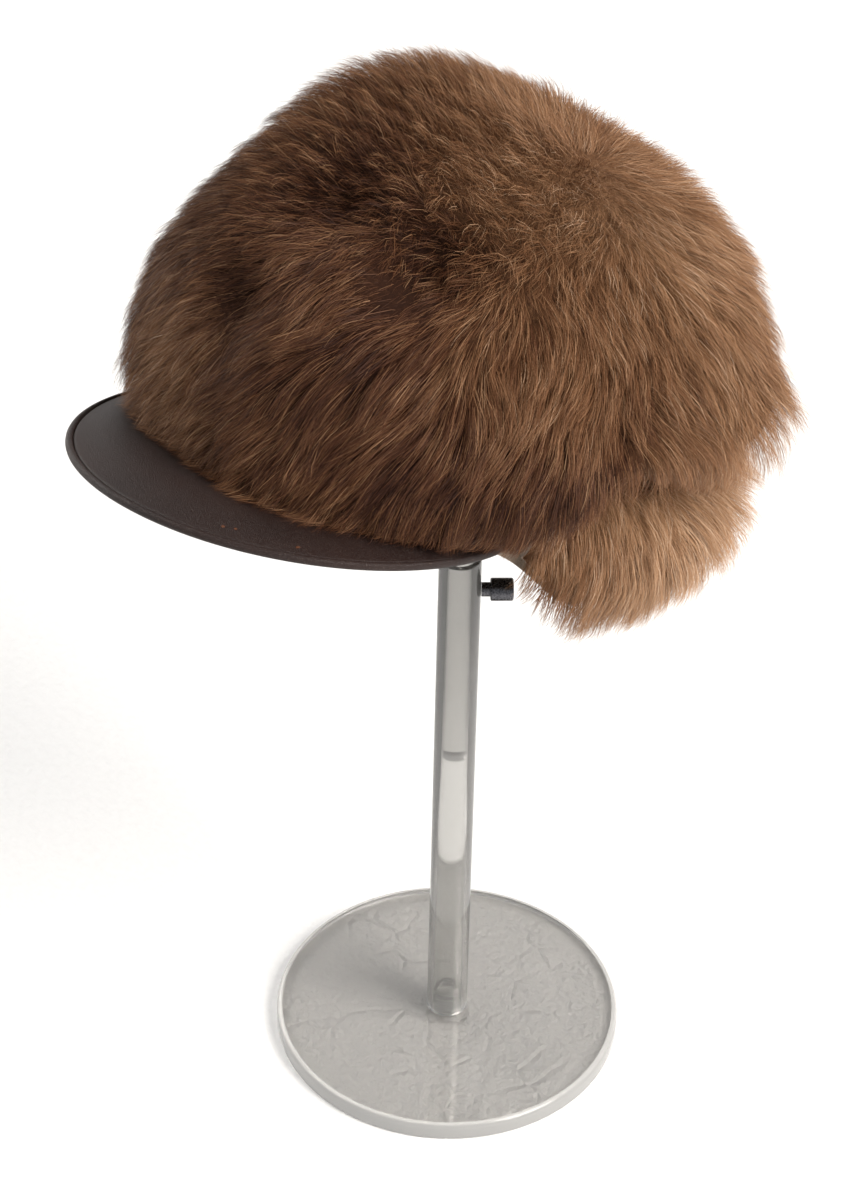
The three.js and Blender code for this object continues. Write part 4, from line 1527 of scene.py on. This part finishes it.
@dataclass
class Stand:
    """Clear telescoping stand with a round base and a thumbscrew."""

    disc_radius: float = 75.0
    disc_height: float = 8.0
    disc_round: float = 2.4
    disc_foot_round: float = 0.8
    tube_radius: float = 8.8
    tube_bore: float = 6.5
    tube_top: float = 262.0
    tube_round: float = 0.7
    bore_round: float = 0.5
    plug_radius: float = 6.1
    plug_height: float = 10.0
    rod_radius: float = 5.9
    rod_bottom: float = 156.0
    rod_top: float = 446.4
    end_round: float = 0.4
    support_radius: float = 30.0
    support_height: float = 5.0
    support_round: float = 2.0
    screw_height: float = 244.5
    screw_azimuth: float = 48.0
    screw_stem: float = 3.0
    screw_stand: float = 3.6
    screw_knob: float = 4.8
    screw_end: float = 13.1

    def disc(self) -> Profile:
        """Profile of the base disc."""
        radius, height = self.disc_radius, self.disc_height
        foot = corner(radius, 0.0, self.disc_foot_round, -90, 4)
        edge = corner(radius, height, self.disc_round, 0, 8)
        return [(0.0, 0.0), (radius - self.disc_foot_round, 0.0), *foot, *edge, (0.0, height)]

    def tube(self, foot: float) -> Profile:
        """Profile of the tube."""
        inner, outer, top = self.tube_bore, self.tube_radius, self.tube_top
        edge = corner(outer, top, self.tube_round, 0, 4) + corner(inner, top, self.bore_round, 90, 4)
        return [(inner, foot), (outer, foot), *edge]

    def plug(self, foot: float) -> Profile:
        """Profile of the plug in the foot of the tube."""
        radius, top = self.plug_radius, foot + self.plug_height
        return [(0.0, foot), (radius, foot), *corner(radius, top, self.end_round, 0, 3), (0.0, top)]

    def rod(self) -> Profile:
        """Profile of the rod."""
        radius, low, top = self.rod_radius, self.rod_bottom, self.rod_top
        return [(0.0, low), *corner(radius, low, self.end_round, -90, 3), (radius, top), (0.0, top)]

    def support(self, low: float) -> Profile:
        """Profile of the disc that the hat rests on."""
        radius, size, top = self.support_radius, self.support_round, low + self.support_height
        edge = corner(radius, low, size, -90, 5) + corner(radius, top, size, 0, 5)
        return [(0.0, low), *edge, (0.0, top)]

    def knob(self) -> Profile:
        """Profile of the thumbscrew, out from the tube: a stem and a knob with a dished face."""
        start = self.tube_radius + GAP / 2
        head, end = start + self.screw_stand, start + self.screw_end
        stem = [(0.0, start), (self.screw_stem, start), (self.screw_stem, head)]
        knob = corner(self.screw_knob, head, 0.7, -90, 4) + corner(self.screw_knob, end, 0.9, 0, 5)
        return [*stem, *knob, (2.6, end), (2.3, end - 0.4), (0.0, end - 0.4)]

    def build(self) -> None:
        """Builds the clear pieces and the thumbscrew."""
        clear = AcrylicFinish(wear=0.03, tint=(0.815, 0.805, 0.79, 1.0)).material()
        # Painted light: the rim of the disc is half milky, so it reads light where the clear rim shows a dark
        # band
        edge = AcrylicFinish(name="clear_acrylic_edge", clear=0.5).material()
        milky = AcrylicFinish(name="clear_acrylic_tube", clear=0.9).material()
        foot = self.disc_height + GAP / 2
        for name, node, profile, finish in (
            ("stand_disc", "base_disc", self.disc(), clear),
            ("stand_tube", "outer_tube", self.tube(foot), milky),
            ("stand_plug", "foot_plug", self.plug(foot), milky),
            ("stand_rod", "inner_rod", self.rod(), milky),
            ("stand_support", "hat_support", self.support(self.rod_top + GAP / 2), milky),
        ):
            points, faces = turned(profile, 128)
            piece = mesh_object(name, points * MM, faces, finish)
            # The rim faces get the painted light finish
            if node == "base_disc":
                piece.data.materials.append(edge)
                for face in piece.data.polygons:
                    if math.hypot(face.center.x, face.center.y) > (self.disc_radius - self.disc_round) * MM:
                        face.material_index = 1
            dress(piece, node)
        points, faces = turned(self.knob(), 48)
        turn = Matrix.Rotation(math.radians(self.screw_azimuth), 3, "Z")
        aim = np.array(turn @ Matrix.Rotation(math.radians(90), 3, "Y"))
        placed = points @ aim.T + np.array([0.0, 0.0, self.screw_height])
        screw = mesh_object("stand_thumbscrew", placed * MM, faces, ChromeFinish().material())
        dress(screw, "thumbscrew")


# Studio


class Lamp(NamedTuple):
    """Square light that faces the hat: where it is, its side and its power."""

    place: Place
    size: float
    power: float


@dataclass
class Studio:
    """Pale floor, soft lights and the camera of the photograph."""

    LAMPS: ClassVar[dict[str, Lamp]] = {
        "key_light": Lamp((1.5, 0.35, 1.6), 1.1, 54.0),
        "fill_light": Lamp((-1.2, -1.5, 1.9), 1.4, 7.0),
        "side_light": Lamp((-1.9, -0.1, 0.95), 1.2, 18.0),
    }

    lamp_colour: Place = (1.0, 0.955, 0.9)
    sky_colour: Colour = (0.985, 0.992, 1.0, 1.0)
    sky_strength: float = 0.58
    floor_radius: float = 2600.0
    floor_bottom: float = -6.0
    floor_top: float = -0.2
    camera_back: float = 1.4131
    camera_height: float = 1.4153
    azimuth: float = 45.0
    pitch: float = 39.79
    yaw: float = -0.573
    roll: float = 1.37
    lens: float = 135.16
    sensor: float = 36.0

    def build(self) -> None:
        """Builds the studio."""
        rim, low, top = self.floor_radius, self.floor_bottom, self.floor_top
        points, faces = turned([(0.0, low), (rim, low), (rim, top), (0.0, top)], 64)
        floor = mesh_object("studio_floor", points * MM, faces, FloorFinish().material())
        self._lights()
        self._camera()
        LOG.info("studio built")

    def _lights(self) -> None:
        """Large soft lights and a pale sky."""
        world = bpy.data.worlds.new("studio_sky")
        world.use_nodes = True
        sky = world.node_tree.nodes["Background"].inputs
        sky["Color"].default_value = self.sky_colour
        sky["Strength"].default_value = self.sky_strength
        bpy.context.scene.world = world
        for name, lamp in self.LAMPS.items():
            data = bpy.data.lights.new(name, "AREA")
            data.energy = lamp.power
            data.color = self.lamp_colour
            data.size = lamp.size
            light = linked(name, data)
            light.location = lamp.place
            toward = Vector((0.0, 0.0, 0.3)) - Vector(lamp.place)
            light.rotation_euler = toward.to_track_quat("-Z", "Y").to_euler()

    def _camera(self) -> None:
        """Camera where the photograph was taken from, upright on its long side."""
        data = bpy.data.cameras.new("photo_camera")
        data.lens = self.lens
        data.sensor_width = self.sensor
        data.sensor_fit = "AUTO"
        camera = linked("photo_camera", data)
        turn = Matrix.Rotation(math.radians(self.azimuth), 3, "Z")
        yaw, pitch, roll = (math.radians(v) for v in (self.yaw, self.pitch, self.roll))
        flat = math.cos(pitch)
        forward = Vector((math.sin(yaw) * flat, math.cos(yaw) * flat, -math.sin(pitch)))
        right = forward.cross(Vector((0.0, 0.0, 1.0))).normalized()
        up = right.cross(forward)
        level = math.cos(roll) * right + math.sin(roll) * up
        upright = -math.sin(roll) * right + math.cos(roll) * up
        axes = Matrix((turn @ level, turn @ upright, turn @ -forward)).transposed()
        place = turn @ Vector((0.0, -self.camera_back, self.camera_height))
        camera.matrix_world = Matrix.Translation(place) @ axes.to_4x4()
        bpy.context.scene.camera = camera
        bpy.context.scene.view_settings.view_transform = "Standard"


def main() -> None:
    """Builds the studio, the stand and the hat in order."""
    logging.basicConfig(level=logging.INFO, format="%(name)s: %(message)s")
    form = HatForm()
    seat = Seat()
    for part in (Studio(), Stand(), Pelt(form, seat), Peak(form, seat), Fur(form, seat)):
        part.build()


if __name__ == "__main__":
    main()
